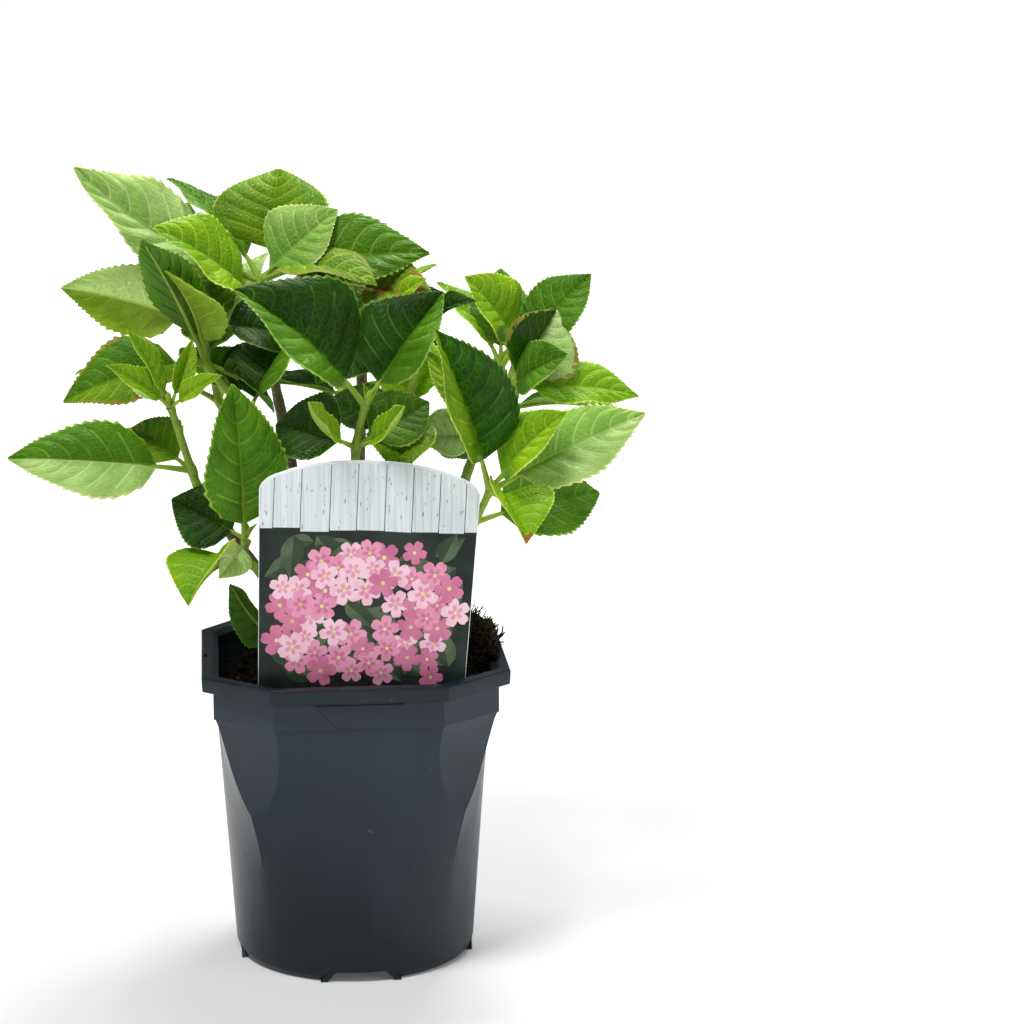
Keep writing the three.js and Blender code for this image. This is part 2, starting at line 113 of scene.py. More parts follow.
# The relief of a leaf, in shares of its blade's length: the swell between veins, the groove of the rib
# and its width, the wave of the margin, and the teeth at the margin and in the column inside it.
QUILT = 0.017
GROOVE = 0.007
RIB = 0.011
WAVE = 0.03
TOOTH = 0.021
TOOTH_ROOT = 0.014

# The camera of the photograph and the studio's lamps, in metres, degrees and watts.
CAMERA = {"lens": 109.7, "place": (-0.05696, -1.30456, 0.49128), "down": 12.839, "right": 5.538}
LAMP_TARGET = Vector((0, 0, 0.2))
LAMPS = {
    "key": {"place": (-0.6, -0.7, 1.9), "width": 0.7, "power": 27},
    "fill": {"place": (1.5, -1.0, 0.8), "width": 1.0, "power": 7},
    "crown": {"place": (0.3, 0.7, 1.7), "width": 0.7, "power": 27},
}


def leaf(compass, rise, reach, width=0.6, arch=0.1, roll=0, fold=15, tone="mature", mark=""):
    """A leaf's angles in degrees, its reach in millimetres, and its width and arch as shares of that.

    Its mark is words for stains (tip, blush, burnt, spots), and left or right with that half's own tone,
    painted light and shade that sets one half apart from the other."""
    return {"compass": compass, "rise": rise, "reach": reach, "width": width, "arch": arch, "roll": roll,
            "fold": fold, "tone": tone, "mark": mark}


# Each shoot: its bough's start, middle and tip, then the joints above it with the leaves of each joint.
# The leaves' tones, and the half tones in their marks, partly paint the light and shade that fall on each
# leaf.
SHOOTS = {
    "centre": {
        "bough": [(1, -8, BOUGH_START), (1, -22, 175), (1, -33, 214)],
        "joints": [
            ((1, -36, 230), [
                leaf(-124, 35, 44, 0.42, -0.1, -60, 30, "bright"),
                leaf(-59, 33, 42, 0.42, -0.1, 60, 30, "bright"),
                leaf(149, 9, 39, 1.1, 0.06, -48, 18, "deep"), leaf(30, 22, 40, 0.85, 0.06, 50, 15)]),
            ((5, -35, 247), [
                leaf(-166, 43, 76, 0.9, 0.08, -50, 28, "deep", "left mature"),
                leaf(8, 54, 58, 0.95, 0.04, 42, 28, "deep", "right mature")]),
        ],
    },
    "upper_left": {
        "bough": [(-12, 4, BOUGH_START), (-24, 0, 175), (-31, -8, 213)],
        "joints": [
            ((-43, -4, 238), [
                leaf(42, 48, 41, 1.4, 0.06, -5, 20, "deep", "right mature"), leaf(120, 20, 60)]),
            ((-60, 0, 260), [
                leaf(-175, -14, 63, 0.62, 0.12, -45, 15, "mature", "blush left olive"),
                leaf(-119, 53, 55, 0.7, 0.08, -30, 20, "olive"),
                leaf(-124, 52, 74, 0.42, 0.05, 20, 20, "deep"), leaf(85, 5, 52),
                leaf(25, -38, 40, 0.9, 0.08, 20, 15, "deep")]),
            ((-60, 10, 274), [
                leaf(174, 15, 64, 0.62, 0.12, 85, 14, "olive", "left fresh"),
                leaf(120, 0, 50, tone="bright"), leaf(15, -12, 46, 0.85, 0.08, 40, 15, "deep")]),
        ],
    },
    "left": {
        "bough": [(-15, -3, BOUGH_START), (-45, -14, 180), (-64, -23, 210)],
        "joints": [
            ((-67, -25, 219), [
                leaf(-175, 6, 77, 0.5, 0.06, -62, 10, "mature", "left cool"),
                leaf(126, 13, 47, 0.7, 0.08, -35, 15, "olive", "tip")]),
            ((-75, -35, 248), [
                leaf(-163, 62, 38, 0.42, 0.03, -50, 25, "bright"),
                leaf(46, 63, 30, 0.45, 0.03, 60, 35, "bright"),
                leaf(-150, 35, 36, 0.42, 0.05, -60, 25, "bright"),
                leaf(-31, 32, 29, 0.45, 0.05, 60, 25, "bright"),
                leaf(124, 24, 30, 0.6, 0.05, -40, 20, "cool")]),
        ],
    },
    "front_left": {
        "bough": [(-10, -9, BOUGH_START), (-25, -22, 156), (-38, -31, 175)],
        "joints": [
            ((-46, -34, 184), [
                leaf(-126, -18, 42, 1.15, 0.12, 16, 34, "bright"),
                leaf(-125, 85, 75, 0.62, 0.04, -122, 16)]),
            ((-45, -35, 191), [
                leaf(-125, -30, 24, 0.8, 0.04, -60, 20, "cool"),
                leaf(167, 28, 36, 1.1, 0.05, -50, 12, "deep")]),
        ],
    },
    "low_left": {
        "bough": [(-14, -11, 131), (-19, -17, 134), (-24, -23, 137)],
        "joints": [
            ((-31, -27, 141), [leaf(-160, 54, 39, 0.85, 0.06, 140, 10, "deep")]),
        ],
    },
    "right_front": {
        "bough": [(11, -6, BOUGH_START), (34, -20, 168), (46, -31, 189)],
        "joints": [
            ((50, -37, 197), [
                leaf(22, 6, 61, 0.75, 0.08, 50, 12, "mature", "burnt"), leaf(165, 5, 34, tone="olive")]),
            ((56, -45, 212), [
                leaf(-152, 69, 76, 0.74, 0.04, -80, 36, "deep", "left olive"),
                leaf(-27, 46, 50, 0.8, 0.06, 45, 18, "bright"),
                leaf(0, 26, 73, 0.54, 0.05, 55, 8, "cool", "left fresh"),
                leaf(-70, -24, 38, 1.2, 0.1, -12, 38, "bright", "tip")]),
        ],
    },
    "right_back": {
        "bough": [(12, 3, BOUGH_START), (38, -8, 185), (48, -18, 212)],
        "joints": [
            ((55, -14, 228), [
                leaf(-168, 4, 30, 1, 0.08, -48, 15, "cool"),
                leaf(156, 56, 44, 0.6, 0.06, -40, 25, "bright")]),
            ((67, 0, 246), [
                leaf(27, 52, 42, 1.2, 0.04, 75, 32, "deep", "right cool blush"),
                leaf(-37, 31, 36, 0.95, 0.05, 50, 14, "mature"),
                leaf(0, -4, 58, 0.55, 0.08, 35, 12, "bright")]),
            ((74, 16, 260), [
                leaf(-155, 52, 44, 1, 0.06, -55, 16, "bright"),
                leaf(4, 46, 46, 0.75, 0.05, 50, 12, "mature")]),
        ],
    },
    "inner_right": {
        "bough": [(5, 0, BOUGH_START), (12, 2, 180), (18, -4, 216)],
        "joints": [
            ((23, -9, 234), [
                leaf(-97, -22, 39, 0.9, 0.1, tone="olive"), leaf(75, 58, 46, 0.8, 0.05, 0, 15, "bright"),
                leaf(15, -30, 34, 0.9, 0.06, 40, 15, "deep"),
                leaf(170, 12, 36, 0.9, 0.06, -40, 15, "deep")]),
            ((30, -10, 272), [
                leaf(-47, 29, 37, 0.55, 0.14, 40, tone="deep"), leaf(170, 0, 34, tone="deep")]),
        ],
    },
    "top": {
        "bough": [(-5, 9, BOUGH_START), (-22, 26, 200), (-33, 34, 258)],
        "joints": [
            ((-37, 34, 279), [
                leaf(-154, 37, 62, 0.85, 0.06, -40, 16, "bright"), leaf(140, 10, 54, tone="bright")]),
            ((-36, 38, 289), [
                leaf(-3, 42, 46, 0.95, 0.05, 50, 14, "fresh"), leaf(-6, 9, 75, 0.62, 0.1, 48, 16, "mature"),
                leaf(-168, 33, 96, 0.5, -0.09, -50, 16, "cool"), leaf(149, 42, 63, 0.5, 0.08, 0),
                leaf(-34, 2, 59, 0.8, 0.12, 12, 14, "olive", "blush")]),
            ((-31, 42, 292), [leaf(80, 60, 49, 1.36, 0.1, -3, 14, "olive")]),
        ],
    },
    "top_right": {
        "bough": [(2, 8, BOUGH_START), (5, 24, 200), (7, 27, 252)],
        "joints": [
            ((7, 27, 266), [
                leaf(-28, 41, 41, 0.8, 0.06, 40, tone="bright"),
                leaf(15, 20, 44, 0.8, 0.08, 40, 15, "deep"),
                leaf(-125, -22, 40, 0.9, 0.08, -40, 15, "deep"),
                leaf(20, -24, 46, 0.9, 0.08, 40, 15, "deep"), leaf(110, 30, 60)]),
            ((1, 32, 287), [
                leaf(-30, -8, 44, 0.85, 0.06, 35, 15, "olive", "spots"),
                leaf(84, 49, 38, 0.8, 0.06, tone="bright")]),
        ],
    },
    "back_left": {
        "bough": [(-10, 14, BOUGH_START), (-35, 42, 185), (-44, 52, 212)],
        "joints": [
            ((-55, 60, 232), [leaf(170, 10, 66), leaf(80, 5, 64, tone="deep")]),
            ((-58, 66, 252), [
                leaf(125, 30, 62), leaf(-170, 50, 50, tone="bright"), leaf(40, 50, 55, tone="cool"),
                leaf(100, 75, 42, 0.75)]),
        ],
    },
    "back": {
        "bough": [(1, 16, BOUGH_START), (4, 52, 180), (6, 64, 206)],
        "joints": [
            ((8, 72, 228), [
                leaf(170, 5, 60, tone="deep"), leaf(30, 0, 62), leaf(90, -10, 55, tone="olive")]),
            ((8, 74, 255), [
                leaf(110, 35, 62), leaf(-5, 45, 50, tone="bright"), leaf(-160, 0, 46, 0.8, tone="deep"),
                leaf(-38, 4, 44, 0.8, tone="deep"), leaf(60, 68, 46, 0.8)]),
        ],
    },
    "back_right": {
        "bough": [(10, 14, BOUGH_START), (45, 38, 180), (56, 46, 206)],
        "joints": [
            ((66, 52, 226), [leaf(75, 0, 62, tone="deep"), leaf(-15, 0, 60)]),
            ((70, 56, 246), [
                leaf(40, 25, 64), leaf(140, 45, 50, tone="bright"), leaf(85, 65, 46, 0.75),
                leaf(-35, 38, 44, 0.7)]),
        ],
    },
}

# The colours of a leaf of each tone: its upper face, its mottle, its veins, its margin and its underside. The
# tones carry painted light as well as the leaves' own greens: deep is painted shade for leaves in the shadow
# of others, and the paler tones paint the glow of backlit leaves and the sheen of lit ones.
TONES = {
    "bright": ("#7aa00a", "#5c8a06", "#a2bc44", "#b4c85a", "#98ad58"),
    "mature": ("#4c760c", "#386008", "#789c3c", "#8aa444", "#869c50"),
    "deep": ("#203e05", "#142c03", "#4a6e24", "#5f7d2c", "#5a7834"),
    "cool": ("#a3bd74", "#86a655", "#c2d49a", "#c6d58c", "#b4c486"),
    "fresh": ("#8cb050", "#6c9834", "#b4cc88", "#bccc80", "#a4ba70"),
    "olive": ("#62860a", "#4a7006", "#94ac3c", "#b0bc4e", "#6f8c1e"),
}


def linear(shade):
    """An sRGB hex colour as linear numbers."""
    parts = [int(shade[at:at + 2], 16) / 255 for at in (1, 3, 5)]
    return [part / 12.92 if part <= 0.04045 else ((part + 0.055) / 1.055) ** 2.4 for part in parts] + [1]


def add_node(tree, kind, inputs=None, **settings):
    """Adds a node with its settings, and gives its outputs. Each of its inputs is set to a value or a hex
    colour, or linked to a socket."""
    made = tree.nodes.new("ShaderNode" + kind)
    for name, value in settings.items():
        setattr(made, name, value)
    for name, value in (inputs or {}).items():
        if isinstance(value, bpy.types.NodeSocket):
            tree.links.new(value, made.inputs[name])
        else:
            made.inputs[name].default_value = linear(value) if isinstance(value, str) else value
    return made.outputs


def start_finish(name, roughness, ior, **sockets):
    """A new material, its tree, its shader and the place on the object."""
    finish = bpy.data.materials.new(name)
    finish.use_nodes = True
    tree = finish.node_tree
    shader = tree.nodes["Principled BSDF"]
    shader.inputs["Roughness"].default_value = roughness
    shader.inputs["IOR"].default_value = ior
    for socket, value in sockets.items():
        shader.inputs[socket.replace("_", " ")].default_value = value
    return finish, tree, shader, add_node(tree, "TexCoord")["Object"]


def two_shades(tree, pattern, low, high, first, second, least=0, most=1):
    """A colour from the first shade to the second, as the pattern goes from low to high."""
    share = add_node(tree, "MapRange", {0: pattern, 1: low, 2: high, 3: least, 4: most})
    blend = add_node(tree, "Mix", {0: share[0], 6: first, 7: second}, data_type="RGBA")
    return blend[2]


def end_finish(tree, shader, colour, height, strength, depth):
    """Gives the shader its colour, and a relief of that depth in metres."""
    tree.links.new(colour, shader.inputs["Base Color"])
    relief = add_node(tree, "Bump", {"Height": height, "Strength": strength, "Distance": depth})
    tree.links.new(relief["Normal"], shader.inputs["Normal"])


# Living leaf: a waxy cuticle over thin green flesh that lets some light through. Its net of fine veins
# has meshes of some 2 mm, drawn a little coarse so that they show, with the flesh swelling between them,
# and follows the side veins on the leaf's own UV map.
def leaf_finish(name, colour, mottle, roughness, quilting, net=None):
    finish, tree, shader, place = start_finish(
        name, roughness, 1.42, Specular_IOR_Level=0.16, Subsurface_Weight=0.45,
        Subsurface_Radius=(0.7, 1, 0.25), Subsurface_Scale=0.0016)
    cloud = add_node(tree, "TexNoise", {"Vector": place, "Scale": 55, "Detail": 3})
    flesh = two_shades(tree, cloud["Fac"], 0.36, 0.64, colour, mottle)
    chart = add_node(tree, "TexCoord")["UV"]
    cells = add_node(
        tree, "TexVoronoi", {"Vector": chart, "Scale": 1.7, "Randomness": 0.85},
        voronoi_dimensions="2D", feature="DISTANCE_TO_EDGE")
    edge = cells["Distance"]
    netted = two_shades(tree, edge, 0.01, 0.12, flesh, net or mottle, 0.2, 0)
    swell = add_node(tree, "MapRange", {0: edge, 1: 0, 2: 0.34}, interpolation_type="SMOOTHSTEP")
    grain = add_node(tree, "TexNoise", {"Vector": place, "Scale": 1400, "Detail": 2})
    height = add_node(tree, "Math", {0: grain["Fac"], 1: 0.12, 2: swell[0]}, operation="MULTIPLY_ADD")
    end_finish(tree, shader, netted, height[0], quilting, 0.0006)
    return finish


# Young bark: green-brown skin with fine lengthwise wrinkles and pale corky dots about 2 mm apart.
def bark_finish(name, green, brown, dots):
    finish, tree, shader, place = start_finish(name, 0.6, 1.45)
    patches = add_node(tree, "TexNoise", {"Vector": place, "Scale": 90, "Detail": 4})
    skin = two_shades(tree, patches["Fac"], 0.38, 0.62, green, brown)
    corks = add_node(tree, "TexVoronoi", {"Vector": place, "Scale": 520, "Randomness": 1})
    dotted = add_node(tree, "MapRange", {0: corks["Distance"], 1: 0.3, 2: 0.16})
    colour = add_node(tree, "Mix", {0: dotted[0], 6: skin, 7: dots}, data_type="RGBA")
    wrinkle = add_node(tree, "TexNoise", {"Vector": place, "Scale": 900, "Detail": 3})
    height = add_node(tree, "Math", {0: dotted[0], 1: 0.8, 2: wrinkle["Fac"]}, operation="MULTIPLY_ADD")
    end_finish(tree, shader, colour[2], height[0], 0.6, 0.0004)
    return finish


# Injection-moulded polypropylene: dark blue-grey, satin, with the faint orange peel of the mould, paler
# handling scuffs, and painted light that greys it paler upwards to just under the lip, which leaves its foot
# darker in painted shade; the lip is left out of it.
def pot_finish():
    finish, tree, shader, place = start_finish(
        "moulded polypropylene, satin", 0.36, 1.49, Specular_IOR_Level=0.28)
    smear = add_node(tree, "Mapping", {"Vector": place, "Scale": (1, 1, 0.35)})
    cloud = add_node(tree, "TexNoise", {"Vector": smear[0], "Scale": 26, "Detail": 5})
    dull = add_node(tree, "MapRange", {0: cloud["Fac"], 1: 0.52, 2: 0.74})
    height = add_node(tree, "SeparateXYZ", {0: place})
    # Painted light: greyer upwards from the foot to just under the lip, the foot darker in painted shade.
    painted_light_upwards = add_node(tree, "MapRange", {0: height["Z"], 1: 0.005, 2: 0.11, 3: 0, 4: 0.6})
    below_lip = add_node(tree, "MapRange", {0: height["Z"], 1: 0.125, 2: 0.128, 3: 1, 4: 0})
    painted_upward_light = add_node(tree, "Math", {0: painted_light_upwards[0], 1: below_lip[0]}, operation="MULTIPLY")
    grey = add_node(tree, "Math", {0: dull[0], 1: 0.4, 2: painted_upward_light[0]}, operation="MULTIPLY_ADD")
    tint = add_node(tree, "Mix", {0: grey[0], 6: "#121c24", 7: "#2b3640"}, data_type="RGBA")
    specks = add_node(tree, "TexNoise", {"Vector": place, "Scale": 330, "Detail": 4})
    scuffed = two_shades(tree, specks["Fac"], 0.7, 0.76, tint[2], "#3a424a")
    rough = add_node(tree, "MapRange", {0: dull[0], 3: 0.33, 4: 0.5})
    tree.links.new(rough[0], shader.inputs["Roughness"])
    peel = add_node(tree, "TexNoise", {"Vector": place, "Scale": 650, "Detail": 2})
    end_finish(tree, shader, scuffed, peel["Fac"], 0.18, 0.0003)
    return finish


# Damp peat compost: dark and dull, with crumbs down to a millimetre. Where it is nearly black, that is
# painted shade beyond the peat's own dark.
def compost_finish(name, dark, light):
    finish, tree, shader, place = start_finish(name, 0.95, 1.4, Specular_IOR_Level=0.1)
    cloud = add_node(tree, "TexNoise", {"Vector": place, "Scale": 260, "Detail": 6})
    colour = two_shades(tree, cloud["Fac"], 0.4, 0.66, dark, light)
    crumbs = add_node(tree, "TexVoronoi", {"Vector": place, "Scale": 900, "Randomness": 1})
    end_finish(tree, shader, colour, crumbs["Distance"], 0.9, 0.0008)
    return finish


# Varnished print on plastic card: the ink is even, with a slight stipple of its two colours.
def print_finish(name, ink, stipple, scale=300, stretch=(1, 1, 1)):
    finish, tree, shader, place = start_finish(name, 0.42, 1.46, Specular_IOR_Level=0.25)
    drawn = add_node(tree, "Mapping", {"Vector": place, "Scale": stretch})
    cloud = add_node(tree, "TexNoise", {"Vector": drawn[0], "Scale": scale, "Detail": 4})
    colour = two_shades(tree, cloud["Fac"], 0.42, 0.66, ink, stipple)
    tree.links.new(colour, shader.inputs["Base Color"])
    return finish


FINISHES = {
    "blush": leaf_finish("leaf margin, blushed", "#7f8434", "#836433", 0.55, 0.1),
    "rust": leaf_finish("leaf, rusty brown", "#96662a", "#7b5a22", 0.6, 0.4),
    "burnt": leaf_finish("leaf, dried edge", "#3f2f1c", "#5b4123", 0.8, 0.4),
    "stalk": leaf_finish("leaf stalk, pale green", "#9fb84a", "#84a236", 0.5, 0.05),
    "shoot": bark_finish("green shoot bark", "#8aa832", "#74922a", "#a2a85a"),
    "bark": bark_finish("young brown bark", "#6d6a3c", "#5c4a30", "#8f845c"),
    "pot": pot_finish(),
    # Painted shade: the compost and its crumbs are nearly black, darker than peat, for the shade under the
    # crown and the rim.
    "compost": compost_finish("damp peat compost", "#060504", "#14100c"),
    "crumb": compost_finish("compost crumbs", "#0c0907", "#211912"),
    "fibre": compost_finish("root and coir fibres", "#2b2118", "#4f4030"),
    "card": print_finish("white plastic card", "#e6eaea", "#dfe4e4"),
    "planks": print_finish("printed whitewashed planks", "#dce2e4", "#c6cfd2", 900, (1, 1, 0.03)),
    "plank gaps": print_finish("printed gaps of the planks", "#596164", "#737c7f"),
    "flecks": print_finish("printed flecks of the planks", "#8b9395", "#5e6668"),
    "picture": print_finish("printed shade", "#1b231f", "#2a352d", 60),
    "sage": print_finish("printed sage leaf", "#35462f", "#2b3a29", 120),
    "sage light": print_finish("printed pale sage leaf", "#52674a", "#41543b", 120),
    "petal": print_finish("printed pink petal", "#e39ab6", "#d983a5", 140),
    "petal deep": print_finish("printed deep pink petal", "#d07c9c", "#c16a8d", 140),
    "petal pale": print_finish("printed pale petal", "#efcad6", "#e8b6c8", 140),
    "blossom eye": print_finish("printed blossom eye", "#e8dc9a", "#c9c078", 200),
}
for tone, (upper, mottle, vein, margin, under) in TONES.items():
    FINISHES[tone, "upper"] = leaf_finish(f"{tone} leaf, upper face", upper, mottle, 0.42, 0.42, vein)
    FINISHES[tone, "vein"] = leaf_finish(f"{tone} leaf, veins", vein, upper, 0.5, 0.1)
    FINISHES[tone, "margin"] = leaf_finish(f"{tone} leaf, margin", margin, vein, 0.5, 0.1)
    FINISHES[tone, "under"] = leaf_finish(f"{tone} leaf, underside", under, vein, 0.65, 0.5)


def mix(start, end, share):
    return start + (end - start) * share


def turned(outline, u, v, turn, size=1):
    """A flat outline made larger, turned about its start and moved to u, v."""
    cos, sin = math.cos(turn), math.sin(turn)
    return [(u + size * (a * cos - b * sin), v + size * (a * sin + b * cos)) for a, b in outline]


def unit(way):
    return way / np.linalg.norm(way)


def heading(turn, rise):
    """The unit vector of a way, by its turn from +X and its rise above level."""
    return np.array([math.cos(rise) * math.cos(turn), math.cos(rise) * math.sin(turn), math.sin(rise)])


def new_pile():
    """Meshes that are to be one piece: their points, faces, finishes and UVs so far."""
    return {"points": [], "faces": [], "finishes": [], "uvs": []}


def pile_up(pile, points, faces, finishes, uvs=None):
    """Adds a mesh. finishes is one key of FINISHES, or one for each face."""
    first = len(pile["points"])
    pile["points"].extend(np.asarray(points).tolist())
    pile["faces"].extend([[first + corner for corner in face] for face in faces])
    pile["finishes"].extend(finishes if isinstance(finishes, list) else [finishes] * len(faces))
    pile["uvs"].extend(np.zeros((len(points), 2)).tolist() if uvs is None else np.asarray(uvs).tolist())


def put(name, data):
    """A new object in the scene."""
    made = bpy.data.objects.new(name, data)
    bpy.context.scene.collection.objects.link(made)
    return made


def pick(*pieces):
    """Selects these pieces and nothing else, and makes the first of them active."""
    bpy.ops.object.select_all(action="DESELECT")
    for piece in pieces:
        piece.select_set(True)
    bpy.context.view_layer.objects.active = pieces[0]


def settle(piece, nodes, crease=30):
    """Shades a piece, and ties it to the part's body and the nodes that it stands for."""
    pick(piece)
    bpy.ops.object.shade_smooth_by_angle(angle=math.radians(crease))
    piece.select_set(False)
    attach(piece, "root")
    if nodes:
        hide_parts(*nodes)


def piece_from(name, pile, nodes, crease=50):
    """One mesh object from a pile, that replaces the nodes of the frame."""
    mesh = bpy.data.meshes.new(name)
    mesh.from_pydata(pile["points"], [], pile["faces"])
    used = sorted(set(pile["finishes"]), key=str)
    for key in used:
        mesh.materials.append(FINISHES[key])
    numbers = {key: number for number, key in enumerate(used)}
    mesh.polygons.foreach_set("material_index", [numbers[key] for key in pile["finishes"]])
    corners = np.zeros(len(mesh.loops), np.int32)
    mesh.loops.foreach_get("vertex_index", corners)
    layer = mesh.uv_layers.new(name="across the veins")
    layer.data.foreach_set("uv", np.array(pile["uvs"])[corners].ravel())
    mesh.validate()
    settle(put(name, mesh), nodes, crease)


def tube(pile, finish, points, radii, sides, relief=0.0):
    """Adds a round tube through points, with flat ends. relief makes its skin uneven."""
    points = np.asarray(points, float)
    ahead = np.gradient(points, axis=0)
    ahead /= np.linalg.norm(ahead, axis=1)[:, None]
    side = np.cross(ahead[0], (0.13, 0.97, 0.2))
    turn = np.linspace(0, 2 * math.pi, sides, endpoint=False)
    rings = []
    for spot, onward, radius in zip(points, ahead, radii):
        side = unit(side - onward * side.dot(onward))
        ring = np.cos(turn)[:, None] * side + np.sin(turn)[:, None] * np.cross(onward, side)
        if relief:
            rough = [1 + relief * noise.noise(Vector(spot + radius * out) * 420) for out in ring]
            ring = ring * np.array(rough)[:, None]
        rings.append(spot + ring * radius)
    faces = []
    for row in range(len(points) - 1):
        here, there = row * sides, (row + 1) * sides
        for step in range(sides):
            after = (step + 1) % sides
            faces.append([here + step, here + after, there + after, there + step])
    faces.append(list(range(sides))[::-1])
    faces.append([(len(points) - 1) * sides + step for step in range(sides)])
    pile_up(pile, np.concatenate(rings), faces, finish)


def centripetal(stops, place):
    """A point of the smooth curve through stops, evened out by their distances, as in the solids."""
    last = len(stops) - 1
    step = min(int(place * last), last - 1)
    weight = place * last - step
    start, end = stops[step], stops[step + 1]
    before = stops[step - 1] if step > 0 else 2 * stops[0] - stops[1]
    after = stops[step + 2] if step + 2 <= last else 2 * stops[last] - stops[last - 1]
    lead = np.linalg.norm(start - before) ** 0.5
    pace = np.linalg.norm(end - start) ** 0.5
    trail = np.linalg.norm(after - end) ** 0.5
    leaving = ((start - before) / lead - (end - before) / (lead + pace) + (end - start) / pace) * pace
    coming = ((end - start) / pace - (after - start) / (pace + trail) + (after - end) / trail) * pace
    curve = (2 * start - 2 * end + leaving + coming) * weight ** 3
    return curve + (3 * end - 3 * start - 2 * leaving - coming) * weight ** 2 + leaving * weight + start


def route(shoot):
    """The stops of a shoot's curve in metres, and where on it the bough ends."""
    stops = [np.array(stop, float) * MM for stop in shoot["bough"] + [at for at, _ in shoot["joints"]]]
    return stops, (len(shoot["bough"]) - 1) / (len(stops) - 1)


def leaf_axes(shape):
    """The unit vectors of a leaf: onward, up from its face, and across."""
    compass, rise, roll = (math.radians(shape[name]) for name in ("compass", "rise", "roll"))
    onward = heading(compass, rise)
    up = unit(np.array([0, 0, 1.0]) - onward * onward[2])
    up = up * math.cos(roll) + np.cross(onward, up) * math.sin(roll)
    return onward, up, np.cross(onward, up)


def rib_point(joint, axes, shape, share):
    """A point of the leaf's rib, at shares of its reach."""
    onward, up, _ = axes
    share = np.asarray(share)[..., None]
    reach = shape["reach"] * MM
    return joint + onward * share * reach + up * 4 * shape["arch"] * reach * share * (1 - share)


def blade_half(side, joint, axes, shape, luck):
    """One half of a blade, row by row from its foot and out from its rib: its upper points, its lower
    points, and UVs for its net of fine veins, along the blade and out from its rib."""
    _, up, across = axes
    blade = (1 - STALK_SHARE) * shape["reach"] * MM
    rows = np.arange(VEINS * VEIN_ROWS + 1)
    step = rows % VEIN_ROWS
    on_vein = step == 0
    between = (step - 1) / (VEIN_ROWS - 1)
    even = rows / rows[-1]
    bunched = (rows // VEIN_ROWS + np.where(on_vein, 0, VEIN_WIDTH + (1 - VEIN_WIDTH) * between)) / VEINS
    swell = np.where(on_vein, 0, np.sin(math.pi * between))

    out = np.array(COLUMNS)
    share = mix(bunched[:, None], even[:, None], out ** 1.5)
    share = share + 0.85 * out ** 1.35 * share ** 0.75 * (1 - share)
    sizes = [luck.uniform(0.7, 1.25) for _ in range(len(rows) // 3 + 1)]
    teeth = (step % 3) / 2 * np.array(sizes)[rows // 3]
    share[:, -1] += 0.006 * teeth
    share = 0.02 + 0.965 * np.clip(share, 0, 1)
    profile = share ** 0.75 * (1 - share) ** 1.15 / PROFILE_PEAK
    half = 0.5 * blade * shape["width"] * profile * luck.uniform(0.95, 1.04)
    half[:2] *= np.array([[0.3], [0.85]])

    rib = np.minimum(RIB * blade * (1.15 - 0.8 * share[:, 1]), 0.4 * half[:, 1])
    spread = half * out
    spread[:, 1] = rib
    spread[:, 2:] = np.maximum(spread[:, 2:], rib[:, None] * (1 + out[2:]))
    fade = np.clip(half[:, -1] / (0.1 * blade), 0.2, 1)
    spread[:, -1] += TOOTH * blade * teeth * fade
    spread[:, -2] += TOOTH_ROOT * blade * teeth * fade

    quilt = QUILT * blade * swell[:, None] * np.sin(math.pi * out ** 0.85) ** 0.7
    sag = 0.1 * half * 4 * out * (1 - out)
    phase, pace = luck.uniform(0, 6.28), luck.uniform(1.3, 2.1)
    wave = WAVE * blade * out ** 2.2 * np.sin(6.28 * pace * share + phase) * np.sin(math.pi * share)
    groove = np.where(out < 0.01, -GROOVE * blade, 0) * (1.1 - share)
    slope = math.radians(shape["fold"])
    lift = spread * math.sin(slope) + quilt + sag + wave + groove
    place = rib_point(joint, axes, shape, mix(STALK_SHARE, 1, share))
    top = place + across * (side * spread * math.cos(slope))[..., None] + up * lift[..., None]
    rib_under = np.where(on_vein, 0.35, 0)[:, None] * (1 - out) ** 0.7
    thick = MM * (LEAF_THICKNESS * (1 - 0.45 * out) + rib_under)
    along = np.broadcast_to(even[:, None] * VEINS * 1.6, share.shape)
    return top, top - up * thick[..., None], np.stack([along, side * spread / (3 * MM)], -1)


def mark_on(words, share, out, left, place):
    """The finish of a stain at a place on a leaf, or None."""
    patch = noise.noise(place * 330)
    if "tip" in words and share > 0.84 + 0.1 * patch:
        return "rust"
    if "blush" in words and out > 7 and patch > -0.1:
        return "blush"
    if "burnt" in words and left and out > 6 and 0.35 < share < 0.75 and patch > 0.02:
        return "burnt"
    if "spots" in words and patch > 0.16:
        return "rust"
    return None


def blade_finishes(shape, top):
    """The finishes of a blade's upper and of its lower faces, row by row."""
    words = shape["mark"].split()
    tones = {half: shape["tone"] for half in ("left", "right")}
    # A half named in the mark takes its own tone: painted light and shade on that half.
    tones.update({half: words[words.index(half) + 1] for half in tones if half in words})
    rows, wide = top.shape[0] - 1, top.shape[1] - 1
    upper, lower = [], []
    for row in range(rows):
        for column in range(wide):
            left = column < wide // 2
            out = wide // 2 - 1 - column if left else column - wide // 2
            tone = tones["left" if left else "right"]
            veined = out == 0 or (row % VEIN_ROWS == 0 and out <= LAST_VEINED)
            kind = (tone, "vein") if veined else (tone, "upper")
            if out == len(COLUMNS) - 2:
                kind = "blush" if "blush" in words else (tone, "margin")
            stain = mark_on(words, (row + 0.5) / rows, out, left, Vector(top[row, column]))
            upper.append(stain or kind)
            lower.append(stain or (tone, "vein" if veined else "under"))
    return upper, lower


